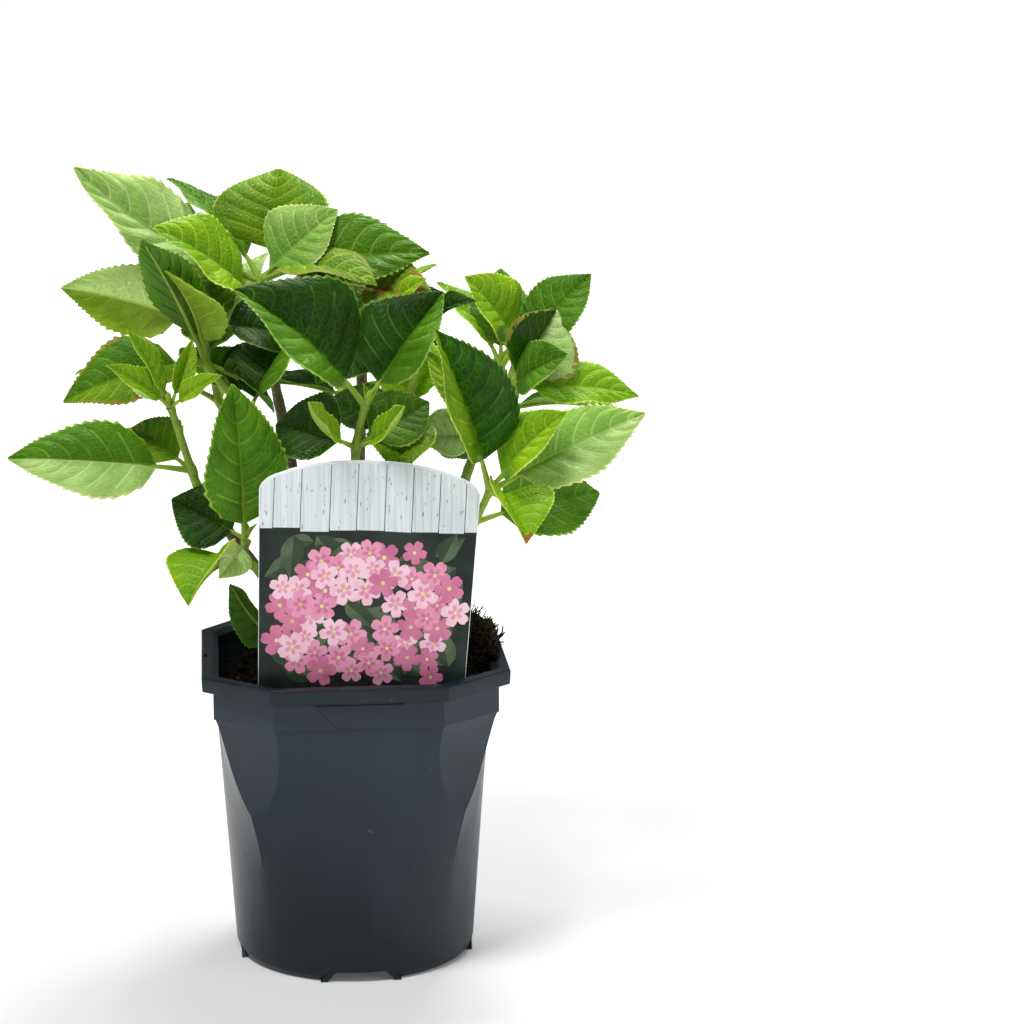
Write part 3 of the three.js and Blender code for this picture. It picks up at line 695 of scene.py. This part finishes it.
def grow_blade(pile, joint, axes, shape, luck):
    """One leaf blade: quilted between its side veins, folded on its rib, toothed at its margin."""
    halves = [blade_half(side, joint, axes, shape, luck) for side in (-1, 1)]
    top, under, chart = (np.concatenate([left[:, :0:-1], right], axis=1) for left, right in zip(*halves))
    count, wide = top.shape[:2]
    total = count * wide
    index = np.arange(total).reshape(count, wide)
    a, b, c, d = index[:-1, :-1], index[:-1, 1:], index[1:, 1:], index[1:, :-1]
    above = np.stack([a, b, c, d], -1).reshape(-1, 4)
    below = np.stack([d, c, b, a], -1).reshape(-1, 4) + total
    onward, back = [0, 1, 2, 3], [0, 3, 2, 1]
    rim = []
    for edge, way in ((index[:, 0], onward), (index[:, -1], back), (index[0], back), (index[-1], onward)):
        rim.append(np.stack([edge[:-1], edge[1:], edge[1:] + total, edge[:-1] + total], -1)[:, way])
    rim = np.concatenate(rim)
    upper, lower = blade_finishes(shape, top)
    points = np.concatenate([top.reshape(-1, 3), under.reshape(-1, 3)])
    faces = np.concatenate([above, below, rim]).tolist()
    finishes = upper + lower + [(shape["tone"], "margin")] * len(rim)
    pile_up(pile, points, faces, finishes, np.concatenate([chart.reshape(-1, 2)] * 2))


def grow_stalk(pile, joint, axes, shape):
    """The leaf's stalk, which runs on under the blade as its midrib."""
    _, up, _ = axes
    shares = np.concatenate([np.linspace(0, STALK_SHARE, 7), np.linspace(STALK_SHARE + 0.05, 0.93, 12)])
    size = min(1, (shape["reach"] / 55) ** 0.6)
    along = np.clip((shares - STALK_SHARE) / (1 - STALK_SHARE), 0, 1)
    stalk = mix(STALK_RADIUS * 1.1, 1.0, shares / STALK_SHARE)
    radii = np.where(shares <= STALK_SHARE, stalk, mix(0.95, 0.2, along ** 0.8)) * size * MM
    sunk = np.where(shares < 0.01, 0, 0.25 * MM + radii * 0.75) * np.clip(along * 12 + 0.3, 0, 1)
    points = rib_point(joint, axes, shape, shares) - up * sunk[:, None]
    tube(pile, "stalk", points, radii, 7)


def grow_bud(pile, end, onward, luck):
    """The two small leaves that close the tip of a shoot."""
    turn = luck.uniform(0, 3.14)
    opening = 0.35
    for way in (0, math.pi):
        side = np.array([math.cos(turn + way), math.sin(turn + way), 0])
        side = unit(side - onward * side.dot(onward))
        ahead = onward * math.cos(opening) + side * math.sin(opening)
        up = onward * math.sin(opening) - side * math.cos(opening)
        young = leaf(0, 0, 10.5, 0.42, 0.06, 0, 34, "bright")
        grow_blade(pile, end - onward * MM, (ahead, up, np.cross(ahead, up)), young, luck)


def grow_mass(name, shoot, luck):
    """The leaves of a shoot as one piece, and its stem and stalks as another."""
    blades, twigs = new_pile(), new_pile()
    stops, fork = route(shoot)
    places = np.linspace(fork + TIP_GAP, 1, 14 * len(shoot["joints"]) + 6)
    points = np.array([centripetal(stops, place) for place in places])
    radii = mix(SHOOT_RADIUS, SHOOT_TIP_RADIUS, (places - fork) / (1 - fork)) * MM
    for at, _ in shoot["joints"]:
        away = np.linalg.norm(points - np.array(at) * MM, axis=1)
        radii = radii + 0.55 * MM * np.exp(-(away / (2.4 * MM)) ** 2)
    tube(twigs, "shoot", points, radii, 12, 0.1)
    for at, leaves in shoot["joints"]:
        joint = np.array(at) * MM
        for shape in leaves:
            axes = leaf_axes(shape)
            grow_blade(blades, joint, axes, shape, luck)
            grow_stalk(twigs, joint, axes, shape)
    grow_bud(blades, points[-1], unit(points[-1] - points[-2]), luck)
    piece_from(f"blades_{name}", blades, [f"leaves_{name}"])
    piece_from(f"stem_{name}", twigs, [f"leaves_{name}"], 60)


def grow_bough(name, shoot):
    stops, fork = route(shoot)
    places = np.linspace(0, fork - TIP_GAP, 26)
    points = [centripetal(stops, place) for place in places]
    radii = mix(BOUGH_RADIUS, SHOOT_RADIUS + 0.1, places / fork) * MM
    pile = new_pile()
    tube(pile, "bark", points, radii, 14, 0.22)
    piece_from(f"branch_{name}", pile, [f"bough_{name}"], 60)


def grow_stock():
    """The flared foot of the shrub with an arm towards each bough."""
    x, y = STOCK["x"], STOCK["y"]
    floor = COMPOST_LEVEL + CLEARANCE
    radii = (9, 8.4, 7.2, 6.3, 6, 5.7, 5.4, 5, 4, 2, 0.2)
    heights = (0, 0.5, 1.2, 2.1, 3, 5, 7, 9, 10.6, 11.6, 12)
    spots = [(x * MM, y * MM, (floor + height) * MM) for height in heights]
    pile = new_pile()
    tube(pile, "bark", spots, [radius * MM for radius in radii], 28, 0.1)
    for shoot in SHOOTS.values():
        stops, _ = route(shoot)
        onward = unit(centripetal(stops, 0.002) - centripetal(stops, 0))
        near = shoot["bough"][0]
        height = COMPOST_LEVEL + 0.6 * STOCK["height"]
        root = np.array([mix(x, near[0], 0.3), mix(y, near[1], 0.3), height]) * MM
        end = stops[0] - onward * CLEARANCE * MM
        elbow = end - onward * 0.35 * np.linalg.norm(end - root)
        shares = np.linspace(0, 1, 12)[:, None]
        curve = root * (1 - shares) ** 2 + elbow * 2 * shares * (1 - shares) + end * shares ** 2
        tube(pile, "bark", curve, np.linspace(ARM_RADIUS, BOUGH_RADIUS, 12) * MM, 14, 0.2)
    piece_from("stock_bark", pile, ["stock"], 60)


def plan_ring(row):
    """The points of the pot's plan at a row, in metres, the same plan as the solids have."""
    ring = []
    for step in range(PLAN_STEPS):
        along = (step % (SIDE_STEPS + 1)) / SIDE_STEPS
        angle = mix(-row["corner"], row["corner"], along)
        radius = mix(row["half"] / math.cos(angle), row["half"], row["round"])
        turn = step // (SIDE_STEPS + 1) * math.pi / 2 + angle
        ring.append(Vector((radius * math.cos(turn), radius * math.sin(turn), row["z"])) * MM)
    return ring


def wall_row(z, inset=0.0, at=None):
    """A row of the tapered wall, round at its foot and eight-sided at its top. at moves its height alone."""
    half = mix(BASE_HALF, WALL_TOP_HALF, z / BAND_BOTTOM) - inset
    closed = min(max((BAND_BOTTOM - z) / (BAND_BOTTOM - FACET_TIP), 0), 1)
    return {"z": z if at is None else at, "half": half, "round": 1 - (max(z, 0) / BAND_BOTTOM) ** 2.5,
            "corner": mix(math.atan(WALL_FLAT), math.pi / 4, closed ** 3)}


def flat_row(z, half, flat):
    """An eight-sided row. flat is half the length of each long side, as a share of half the width."""
    return {"z": z, "half": half, "corner": math.atan(flat), "round": 0}


def start_ring(name, spots):
    """A ring of edges with its corners on these spots, selected and ready to be extruded."""
    bpy.ops.object.select_all(action="DESELECT")
    bpy.ops.mesh.primitive_circle_add(vertices=len(spots), radius=0.05)
    body = bpy.context.object
    body.name = name
    for spot, vertex in zip(spots, body.data.vertices):
        vertex.co = spot
    bpy.ops.object.mode_set(mode="EDIT")
    bpy.ops.mesh.select_mode(type="VERT")
    bpy.ops.mesh.select_all(action="SELECT")
    return body


def end_body():
    """Turns the faces of the extruded body outwards."""
    bpy.ops.mesh.select_all(action="SELECT")
    bpy.ops.mesh.normals_make_consistent(inside=False)
    bpy.ops.object.mode_set(mode="OBJECT")


def extrude_up(name, rows, lift=None):
    """A closed body: a ring that is extruded once for each row, set on that row's plan and capped."""
    foot = last = plan_ring(rows[0])
    body = start_ring(name, foot)
    for row in rows[1:]:
        bpy.ops.mesh.extrude_edges_move()
        shell = bmesh.from_edit_mesh(body.data)
        ring = plan_ring(row)
        for vertex in [vertex for vertex in shell.verts if vertex.select]:
            step = min(range(PLAN_STEPS), key=lambda number: (last[number] - vertex.co).length_squared)
            vertex.co = ring[step]
        bmesh.update_edit_mesh(body.data)
        last = ring
    bpy.ops.mesh.edge_face_add()
    bpy.ops.mesh.select_all(action="DESELECT")
    shell = bmesh.from_edit_mesh(body.data)
    for vertex in shell.verts:
        vertex.select = min((vertex.co - spot).length_squared for spot in foot) < 1e-12
    shell.select_flush(True)
    bmesh.update_edit_mesh(body.data)
    bpy.ops.mesh.edge_face_add()
    end_body()
    if lift:
        for vertex in body.data.vertices:
            vertex.co.z += lift(vertex.co)
    return body


def block(name, corner):
    """A cube, each of whose corners goes where corner sends it, in millimetres, from its place half a
    unit out on each axis."""
    bpy.ops.object.select_all(action="DESELECT")
    bpy.ops.mesh.primitive_cube_add(size=1)
    made = bpy.context.object
    made.name = name
    for vertex in made.data.vertices:
        vertex.co = Vector(corner(*vertex.co)) * MM
    return made


def bars(name, margin, start, end, low, top):
    """Four sloped bars along the floor under the middle of each side, as one cutter."""
    made = []
    for side in range(4):

        def corner(x, y, z):
            wide = (NOTCH["bottom"] if z < 0 else NOTCH["top"]) / 2 + margin
            spot = turned([(mix(start, end, x + 0.5), 2 * y * wide)], 0, 0, side * math.pi / 2)[0]
            return *spot, mix(low, top, z + 0.5)

        made.append(block(name, corner))
    pick(*made)
    bpy.ops.object.join()
    return made[0]


def boolean(body, cutter, operation):
    change = body.modifiers.new(cutter.name, "BOOLEAN")
    change.object = cutter
    change.operation = operation
    change.solver = "EXACT"
    pick(body)
    bpy.ops.object.modifier_apply(modifier=change.name)
    bpy.data.objects.remove(cutter)


def soften(body, width):
    """Rounds the sharp edges of a body over a width in millimetres."""
    pick(body)
    rounded = body.modifiers.new("soft edges", "BEVEL")
    rounded.width = width * MM
    rounded.segments = 2
    bpy.ops.object.modifier_apply(modifier=rounded.name)


def pot_rows():
    """The pot's section: up its outside, over the lip and its skirt, and down its inside."""
    half, top = RIM_WIDTH / 2, POT_HEIGHT
    lip, under = top - LIP_DROP, top - LIP_THICKNESS
    step = BAND_HALF - WALL_TOP_HALF
    rows = [wall_row(0, 3), wall_row(0, 2.3, 0.15), wall_row(0, 1.6, 0.5)]
    rows += [wall_row(1.2, 0.9), wall_row(2.2, 0.35)]
    rows += [wall_row(z) for z in (3.5, 6, 12, 20, 29, 38, 47, 56, 64, 69, FACET_TIP, *range(76, 113, 3))]
    rows += [flat_row(z, BAND_HALF - inset, WALL_FLAT) for z, inset in (
        (BAND_BOTTOM - 0.8, step), (BAND_BOTTOM - 0.5, step - 0.1), (BAND_BOTTOM - 0.15, 0.15),
        (BAND_BOTTOM + 0.2, 0), (120, 0), (126, 0), (under - 0.4, 0), (under, -0.4))]
    rows += [flat_row(z, half - inset, RIM_FLAT) for z, inset in (
        (under, 1.8), (under - 0.4, 1.5), (lip + 0.2, 1.6), (lip, 1.4), (lip, 0.6), (lip + 0.25, 0.3),
        (130, 0.15), (top - 0.9, 0), (top - 0.4, 0.12), (top - 0.1, 0.45), (top, 0.9), (top, 3))]
    rows += [flat_row(z, BAND_HALF + out, RIM_FLAT) for z, out in (
        (top, 0.7), (top - 0.15, 0.3), (top - 0.5, -0.1))]
    rows += [flat_row(top - 2.6, BAND_HALF - WALL - 0.7, WALL_FLAT)]
    rows += [wall_row(z, WALL) for z in (BAND_BOTTOM, 104, 94, 84, FACET_TIP, 60, 38, 20, 6)]
    return rows + [wall_row(FLOOR, WALL + 2)]


def make_pot():
    """The moulded pot, with its channels, its drain holes and the slot for a tag cut into it."""
    pot = extrude_up("pot_shell", pot_rows())
    reach, height = NOTCH["reach"], NOTCH["height"]
    boolean(pot, bars("covers", WALL, reach - WALL, BASE_HALF - 1.5, 0.4, height + WALL), "UNION")
    boolean(pot, bars("channels", 0, reach, BASE_HALF + 5, -1, height), "DIFFERENCE")
    holes = []
    for side in range(4):
        size = (DRAIN["length"], DRAIN["width"]) if side % 2 == 0 else (DRAIN["width"], DRAIN["length"])
        spot = turned([(reach + DRAIN["length"], 0)], 0, 0, side * math.pi / 2)[0]
        holes.append(((*spot, height), (*size, 4 * WALL)))
    slot_x = -(RIM_WIDTH / 2 + BAND_HALF + 1) / 2
    holes.append(((slot_x, TAG_SLOT["y"], POT_HEIGHT - 1), (TAG_SLOT["width"], TAG_SLOT["length"], 6)))
    for middle, size in holes:
        hole = block("hole", lambda *signs: [at + sign * wide for at, sign, wide in zip(middle, signs, size)])
        boolean(pot, hole, "DIFFERENCE")
    pot.data.materials.append(FINISHES["pot"])
    settle(pot, ["pot"], 22)


def make_grip_mark():
    """The shallow raised panel, narrower downwards, that the mould leaves under the front of the lip."""
    def corner(x, y, z):
        front = y < 0
        half = mix(GRIP_MARK["bottom_half"], GRIP_MARK["top_half"], z + 0.5) - (0.5 if front else 0)
        out = BAND_HALF + (GRIP_MARK["proud"] if front else -0.3)
        height = mix(GRIP_MARK["bottom"], GRIP_MARK["top"], z + 0.5) + (0.4 if front and z < 0 else 0)
        return 2 * x * half, -out, height

    mark = block("pot_grip_mark", corner)
    soften(mark, 0.15)
    mark.data.materials.append(FINISHES["pot"])
    settle(mark, [], 40)


def heap(x, y):
    """How far the compost stands above its level, in millimetres, as in the solids."""
    away = math.hypot(x - MOUND["x"], y - MOUND["y"]) / MOUND["spread"]
    crumble = 0.7 * math.sin(0.31 * x + 1) * math.cos(0.27 * y) * min(1, math.hypot(x, y) / 30)
    return MOUND["height"] * math.exp(-away * away / 2) + crumble - 0.7


def ground(x, y):
    """The heap of the solids with loose compost banked up beside it against the pot's right wall."""
    away = ((x - BANK["x"]) / BANK["width"]) ** 2 + ((y - BANK["y"]) / BANK["length"]) ** 2
    return max(heap(x, y), min(heap(x, y) + BANK["height"] * math.exp(-away), BANK["top"]))


def make_compost():
    inset = WALL + 0.4
    level = wall_row(BAND_BOTTOM, inset)
    rows = [wall_row(z, inset) for z in (7, 38, FACET_TIP, 84, 94, 104)] + [level]
    shares = (1, 0.975, 0.95, 0.91, 0.87, 0.82, 0.77, 0.72)
    shares += (0.66, 0.6, 0.54, 0.48, 0.42, 0.36, 0.3, 0.24, 0.18, 0.1)
    rows += [{**level, "half": level["half"] * share, "z": COMPOST_LEVEL} for share in shares]

    def lift(spot):
        """The heap and a rough surface, which is quieter at the wall and even around the stock."""
        if spot.z < (COMPOST_LEVEL - 0.5) * MM:
            return 0
        x, y = spot.x / MM, spot.y / MM
        rough = 2.2 * noise.fractal(spot * 160, 1.0, 2.0, 4)
        edge = 1 if max(abs(x), abs(y)) < 54 else 0.4
        quiet = min(1, max(0, (math.hypot(x - STOCK["x"], y - STOCK["y"]) - 10) / 12))
        return (ground(x, y) + rough * edge * quiet) * MM

    earth = extrude_up("compost_bed", rows, lift)
    earth.data.materials.append(FINISHES["compost"])
    settle(earth, ["compost"], 35)


def crumb_spot(number):
    """The place in plan of a crumb, or None where it would lie on something else."""
    spilt = number >= BED_CRUMBS
    if spilt:
        x, y = BANK["x"] - 2 + random.gauss(0, 2.6), random.gauss(BANK["y"], 14)
    elif number % 3:
        x, y = random.gauss(MOUND["x"] - 1, 8), random.gauss(MOUND["y"] - 2, 12)
    else:
        x, y = random.uniform(-55, 55), random.uniform(-55, 55)
    beyond = max(abs(x), abs(y)) > (61.5 if spilt else 55.5) or abs(x) + abs(y) > 90
    on_stock = math.hypot(x - STOCK["x"], y - STOCK["y"]) < 12
    at_label = abs(y - LABEL["y"]) < 2.5 and abs(x) < 48
    return None if beyond or on_stock or at_label else (x, y)


def scatter_crumbs():
    """Loose crumbs on the compost: more of them on the mound, and some spilt on the lip beside the bank."""
    bpy.ops.object.select_all(action="DESELECT")
    bpy.ops.mesh.primitive_ico_sphere_add(subdivisions=2, radius=1)
    ball = bpy.context.object
    lump = np.array([vertex.co[:] for vertex in ball.data.vertices])
    sides = [list(face.vertices) for face in ball.data.polygons]
    bpy.data.objects.remove(ball)
    pile = new_pile()
    for number in range(BED_CRUMBS + SPILT_CRUMBS):
        spot = crumb_spot(number)
        if spot is None:
            continue
        x, y = spot
        size = random.uniform(0.5, 1.1) if random.random() < 0.75 else random.uniform(1.1, 2.3)
        z = COMPOST_LEVEL + ground(x, y) + 0.2 * size + 0.6
        if number >= BED_CRUMBS:
            lip = POT_HEIGHT + 0.2 * size if x > 58 else 0
            z = max(z, lip) + random.uniform(0, 2.5) * (x < 59)
        shift = Vector((random.random() * 40, random.random() * 40, random.random() * 40))
        rough = np.array([1 + 0.45 * noise.noise(Vector(point) * 1.4 + shift) for point in lump])[:, None]
        flat = np.array([1, random.uniform(0.6, 1), random.uniform(0.5, 0.9)])
        pile_up(pile, (lump * rough * flat * size + (x, y, z)) * MM, sides, "crumb")
    piece_from("compost_crumbs", pile, [], 60)


def lay_fibre(pile, foot, turn, rise, widths, luck):
    """One root fibre that leaves the compost at its foot, bent and tapered."""
    start = np.array([*foot, COMPOST_LEVEL + ground(*foot)])
    length = luck.uniform(4, 11)
    bend = np.array([luck.uniform(-1, 1), luck.uniform(-1, 1), luck.uniform(-1, 0.2)]) * 0.25 * length
    shares = np.linspace(0, 1, 7)[:, None]
    path = start + heading(turn, rise) * length * shares + bend * (shares * (1 - shares) * 4)
    path[:, 2] = np.maximum(path[:, 2], COMPOST_LEVEL + 0.4)
    width = luck.uniform(*widths)
    tube(pile, "fibre", path * MM, np.linspace(width, width * 0.35, 7) * MM, 5)


def scatter_fibres():
    """Fibres that stick out of the mound and lie on the bed, and thicker ones in the bank."""
    pile = new_pile()
    for number in range(BED_FIBRES):
        near = number % 4
        x = random.gauss(MOUND["x"] + 1, 5) if near else random.uniform(-52, 52)
        y = random.gauss(MOUND["y"] - 9, 15) if near else random.uniform(-40, 52)
        if max(abs(x), abs(y)) > 54 or abs(x) + abs(y) > 86 or math.hypot(x, y) < 16:
            continue
        turn, rise = random.gauss(0, 1.5), random.uniform(0.3, 1.4) if near else random.uniform(0, 0.5)
        lay_fibre(pile, (x, y), turn, rise, (0.2, 0.6), random)
    luck = random.Random(7)
    for _ in range(BANK_FIBRES):
        x, y = luck.gauss(BANK["x"] - 2, 2), luck.gauss(BANK["y"] + 5, 9)
        if x < 59.5 and abs(y) < 30:
            lay_fibre(pile, (x, y), luck.gauss(0.1, 0.7), luck.uniform(0, 1.3), (0.3, 0.9), luck)
    piece_from("compost_fibres", pile, [], 60)


def on_label(u, v, depth):
    """The place in metres of a point of the label: u across it, v up from its foot, depth to its front."""
    lean = math.radians(LABEL["lean"])
    x = u * math.cos(lean) + v * math.sin(lean) + LABEL_FOOT["x"]
    z = -u * math.sin(lean) + v * math.cos(lean) + LABEL_FOOT["z"]
    return Vector((x, LABEL["y"] - depth, z)) * MM


def side_edge(v):
    """Half the label's width at a height."""
    return LABEL["width"] / 2 - (LABEL["shoulder"] - v) * math.tan(math.radians(LABEL["taper"]))


def bow(start, elbow, end, steps):
    """Points of a quadratic curve, without its first."""
    shares = [number / steps for number in range(1, steps + 1)]
    return [tuple(mix(mix(a, b, t), mix(b, c, t), t) for a, b, c in zip(start, elbow, end)) for t in shares]


def card_outline():
    wide, shoulder, arch = LABEL["width"] / 2, LABEL["shoulder"], LABEL["arch"]
    sunk = -LABEL_FOOT["sunk"]
    right = [(STAKE["tip"] / 2, sunk - STAKE["length"]), (STAKE["top"] / 2, sunk), (side_edge(sunk), sunk)]
    right += [(side_edge(v), v) for v in (20, 45, 68, shoulder)]
    right += bow((wide, shoulder), (wide - 1, shoulder + 5), (wide - 9, shoulder + 7.5), 10)
    right += bow((wide - 9, shoulder + 7.5), (wide / 2, shoulder + arch), (0, shoulder + arch), 18)
    return right + [(-u, v) for u, v in right[-2::-1]]


def arch_height(u):
    """How high the card reaches at a distance from its middle line."""
    half = sorted((abs(across), v) for across, v in card_outline() if v >= LABEL["shoulder"] and across >= 0)
    return float(np.interp(abs(u), [across for across, _ in half], [v for _, v in half]))


def flat_shape(pile, outline, depth, finish, proud=0.05):
    """A flat printed shape, given by its outline seen from the front, that stands proud of the card."""
    count = len(outline)
    points = [on_label(u, v, depth) for u, v in outline]
    points += [on_label(u, v, depth - proud) for u, v in outline]
    faces = [list(range(count)), list(range(2 * count - 1, count - 1, -1))]
    for here in range(count):
        after = (here + 1) % count
        faces.append([here, count + here, count + after, after])
    pile_up(pile, points, faces, finish)


def make_label():
    """The plastic card on its stake, and what is printed on its front."""
    front = LABEL["thickness"] / 2
    card = start_ring("label_card", [on_label(u, v, -front) for u, v in card_outline()])
    bpy.ops.mesh.edge_face_add()
    bpy.ops.mesh.extrude_region_move(TRANSFORM_OT_translate={"value": (0, -2 * front * MM, 0)})
    end_body()
    soften(card, 0.12)
    card.data.materials.append(FINISHES["card"])
    settle(card, ["label"])

    pile = new_pile()
    print_planks(pile, front + 0.05)
    print_leaves(pile, front + 0.05)
    print_garland(pile, front + 0.05)
    piece_from("label_print", pile, [], 30)


def print_planks(pile, depth):
    """Bare whitewashed planks with flecks, on the card's header."""
    joints = [-side_edge(80) + 0.6] + PLANK_JOINTS + [side_edge(80) - 0.6]
    backing = [(-side_edge(PRINT_MEETS) + 0.5, PRINT_MEETS), (side_edge(PRINT_MEETS) - 0.5, PRINT_MEETS)]
    backing += [(u, arch_height(u) - 1.4) for u in np.linspace(joints[-1], joints[0], 41)]
    flat_shape(pile, backing, depth, "plank gaps")
    for left, right in zip(joints, joints[1:]):
        low = PLANK_ENDS + random.uniform(-1.3, 0.9)
        near, far = left + 0.2, right - 0.2
        plank = [(near, low), (far, low + random.uniform(-0.3, 0.3))]
        plank += [(u, arch_height(u) - 1.2) for u in np.linspace(far, near, 9)]
        flat_shape(pile, plank, depth + 0.05, "planks")
        for _ in range(int((right - left) * 0.9)):
            u, v = random.uniform(near + 0.5, far - 0.5), random.uniform(low + 1, arch_height(left) - 4)
            tall, wide = random.uniform(0.3, 1.6), random.uniform(0.08, 0.28)
            fleck = [(u - wide, v), (u, v - tall), (u + wide, v + 0.1), (u + wide * 0.4, v + tall)]
            flat_shape(pile, fleck, depth + 0.09, "flecks")


def petal_outline(reach, wide):
    """A round petal with a notch in its end, as shares of a blossom's radius."""
    outline = []
    for step in range(14):
        way = step / 14 * 2 * math.pi
        along = 0.54 + 0.46 * math.cos(way) - (0.07 if step == 0 else 0)
        outline.append((reach * along, wide * math.sin(way) * (0.55 + 0.45 * along)))
    return outline


def print_leaves(pile, depth):
    """The dark ground of the picture, and plain leaves on it with a pale half each."""
    low, high = -0.6, PRINT_MEETS
    corners = ((-1, low), (1, low), (1, high), (-1, high))
    flat_shape(pile, [(side * (side_edge(v) - 0.25), v) for side, v in corners], depth, "picture")
    shares = np.linspace(0, 1, 9)
    for number in range(PRINTED_LEAVES):
        u, v = random.uniform(-40, 40), random.uniform(4, PLANK_ENDS - 2)
        turn, length = random.uniform(0, 6.28), random.uniform(11, 19)
        for half, finish in ((1, "sage"), (-1, "sage light")):
            edge = [(share, half * 0.27 * math.sin(math.pi * share ** 0.8)) for share in shares]
            shape = turned(edge[::-half], u, v, turn, length)
            if all(abs(at) < side_edge(0) - 0.5 and low + 0.4 < up < high - 0.4 for at, up in shape):
                flat_shape(pile, shape, depth + 0.03 + 0.0009 * number, finish, 0.02)


def print_garland(pile, depth):
    """A generic garland of five-petalled blossom, each a little proud of the one before."""
    spots = []
    for _ in range(BLOSSOM_TRIES):
        u, v = random.uniform(-38, 38), random.uniform(6, PLANK_ENDS - 8)
        out = math.hypot(u / GARLAND["half_width"], (v - GARLAND["middle"]) / GARLAND["half_height"])
        wanted = math.exp(-((out - GARLAND["radius"]) / GARLAND["spread"]) ** 2)
        if random.random() < wanted and all(math.hypot(u - a, v - b) > BLOSSOM_SPACING for a, b in spots):
            spots.append((u, v))
    outer, inner = petal_outline(1, 0.43), petal_outline(0.52, 0.16)
    eye = [(0.13 * math.cos(angle), 0.13 * math.sin(angle)) for angle in np.linspace(0, 6.283, 9)[:-1]]
    for number, (u, v) in enumerate(spots):
        size = random.uniform(5.3, 7)
        petals = ("petal", "petal pale", "petal deep")[number * 7 % 3]
        heart = "petal" if petals == "petal pale" else "petal deep"
        turn = random.uniform(0, 1.26)
        layer = depth + 0.11 + 0.003 * number
        for petal in range(5):
            angle = turn + petal * 2 * math.pi / 5
            flat_shape(pile, turned(outer, u, v, angle, size), layer + 0.0006 * petal, petals, 0.02)
            flat_shape(pile, turned(inner, u, v, angle, size), layer + 0.012 + 0.0006 * petal, heart, 0.02)
        flat_shape(pile, turned(eye, u, v, 0, size), layer + 0.02, "blossom eye", 0.02)


def set_camera():
    """The camera of the photograph."""
    view = bpy.data.cameras.new("camera")
    view.lens = CAMERA["lens"]
    view.sensor_width = 36
    camera = put("camera", view)
    camera.location = CAMERA["place"]
    camera.rotation_euler = (math.radians(90 - CAMERA["down"]), 0, math.radians(-CAMERA["right"]))
    bpy.context.scene.camera = camera


def lay_floor():
    """A plain pale floor that glows more away from the part, so that it ends in white."""
    bpy.ops.object.select_all(action="DESELECT")
    bpy.ops.mesh.primitive_plane_add(size=60)
    floor = bpy.context.object
    floor.name = "studio_floor"
    finish, tree, shader, place = start_finish("matt studio paper", 0.9, 1.4, Emission_Color=(1, 1, 1, 1))
    cloud = add_node(tree, "TexNoise", {"Vector": place, "Scale": 3, "Detail": 2})
    tint = two_shades(tree, cloud["Fac"], 0, 1, "#e8e8e7", "#e3e4e4")
    tree.links.new(tint, shader.inputs["Base Color"])
    away = add_node(tree, "VectorMath", {0: place}, operation="LENGTH")
    glow = add_node(tree, "MapRange", {0: away["Value"], 1: 0.3, 2: 1.6, 3: 0.06, 4: 0.9})
    tree.links.new(glow[0], shader.inputs["Emission Strength"])
    floor.data.materials.append(finish)


def light_studio():
    """A white surround that the camera sees bright and the part sees dim, and soft lamps over it."""
    world = bpy.data.worlds.new("studio")
    world.use_nodes = True
    tree = world.node_tree
    sky = tree.nodes["Background"]
    sky.inputs["Color"].default_value = (0.97, 0.985, 1, 1)
    sky.inputs["Strength"].default_value = 1
    dim = add_node(tree, "Background", {"Color": (0.95, 0.98, 1, 1), "Strength": 0.14})
    ray = add_node(tree, "LightPath")["Is Camera Ray"]
    seen = add_node(tree, "MixShader", {0: ray, 1: dim[0], 2: sky.outputs[0]})
    tree.links.new(seen[0], tree.nodes["World Output"].inputs["Surface"])
    bpy.context.scene.world = world
    bpy.context.scene.view_settings.view_transform = "Standard"
    bpy.context.scene.view_settings.exposure = 0.13
    for name, lamp in LAMPS.items():
        light = bpy.data.lights.new(name, "AREA")
        light.shape = "DISK"
        light.size = lamp["width"]
        light.energy = lamp["power"]
        hung = put(name, light)
        hung.location = lamp["place"]
        hung.rotation_euler = (LAMP_TARGET - Vector(lamp["place"])).to_track_quat("-Z", "Y").to_euler()


set_camera()
lay_floor()
light_studio()
make_pot()
make_grip_mark()
make_compost()
scatter_crumbs()
scatter_fibres()
make_label()
grow_stock()
for number, (name, shoot) in enumerate(SHOOTS.items()):
    grow_bough(name, shoot)
    grow_mass(name, shoot, random.Random(number + 5))
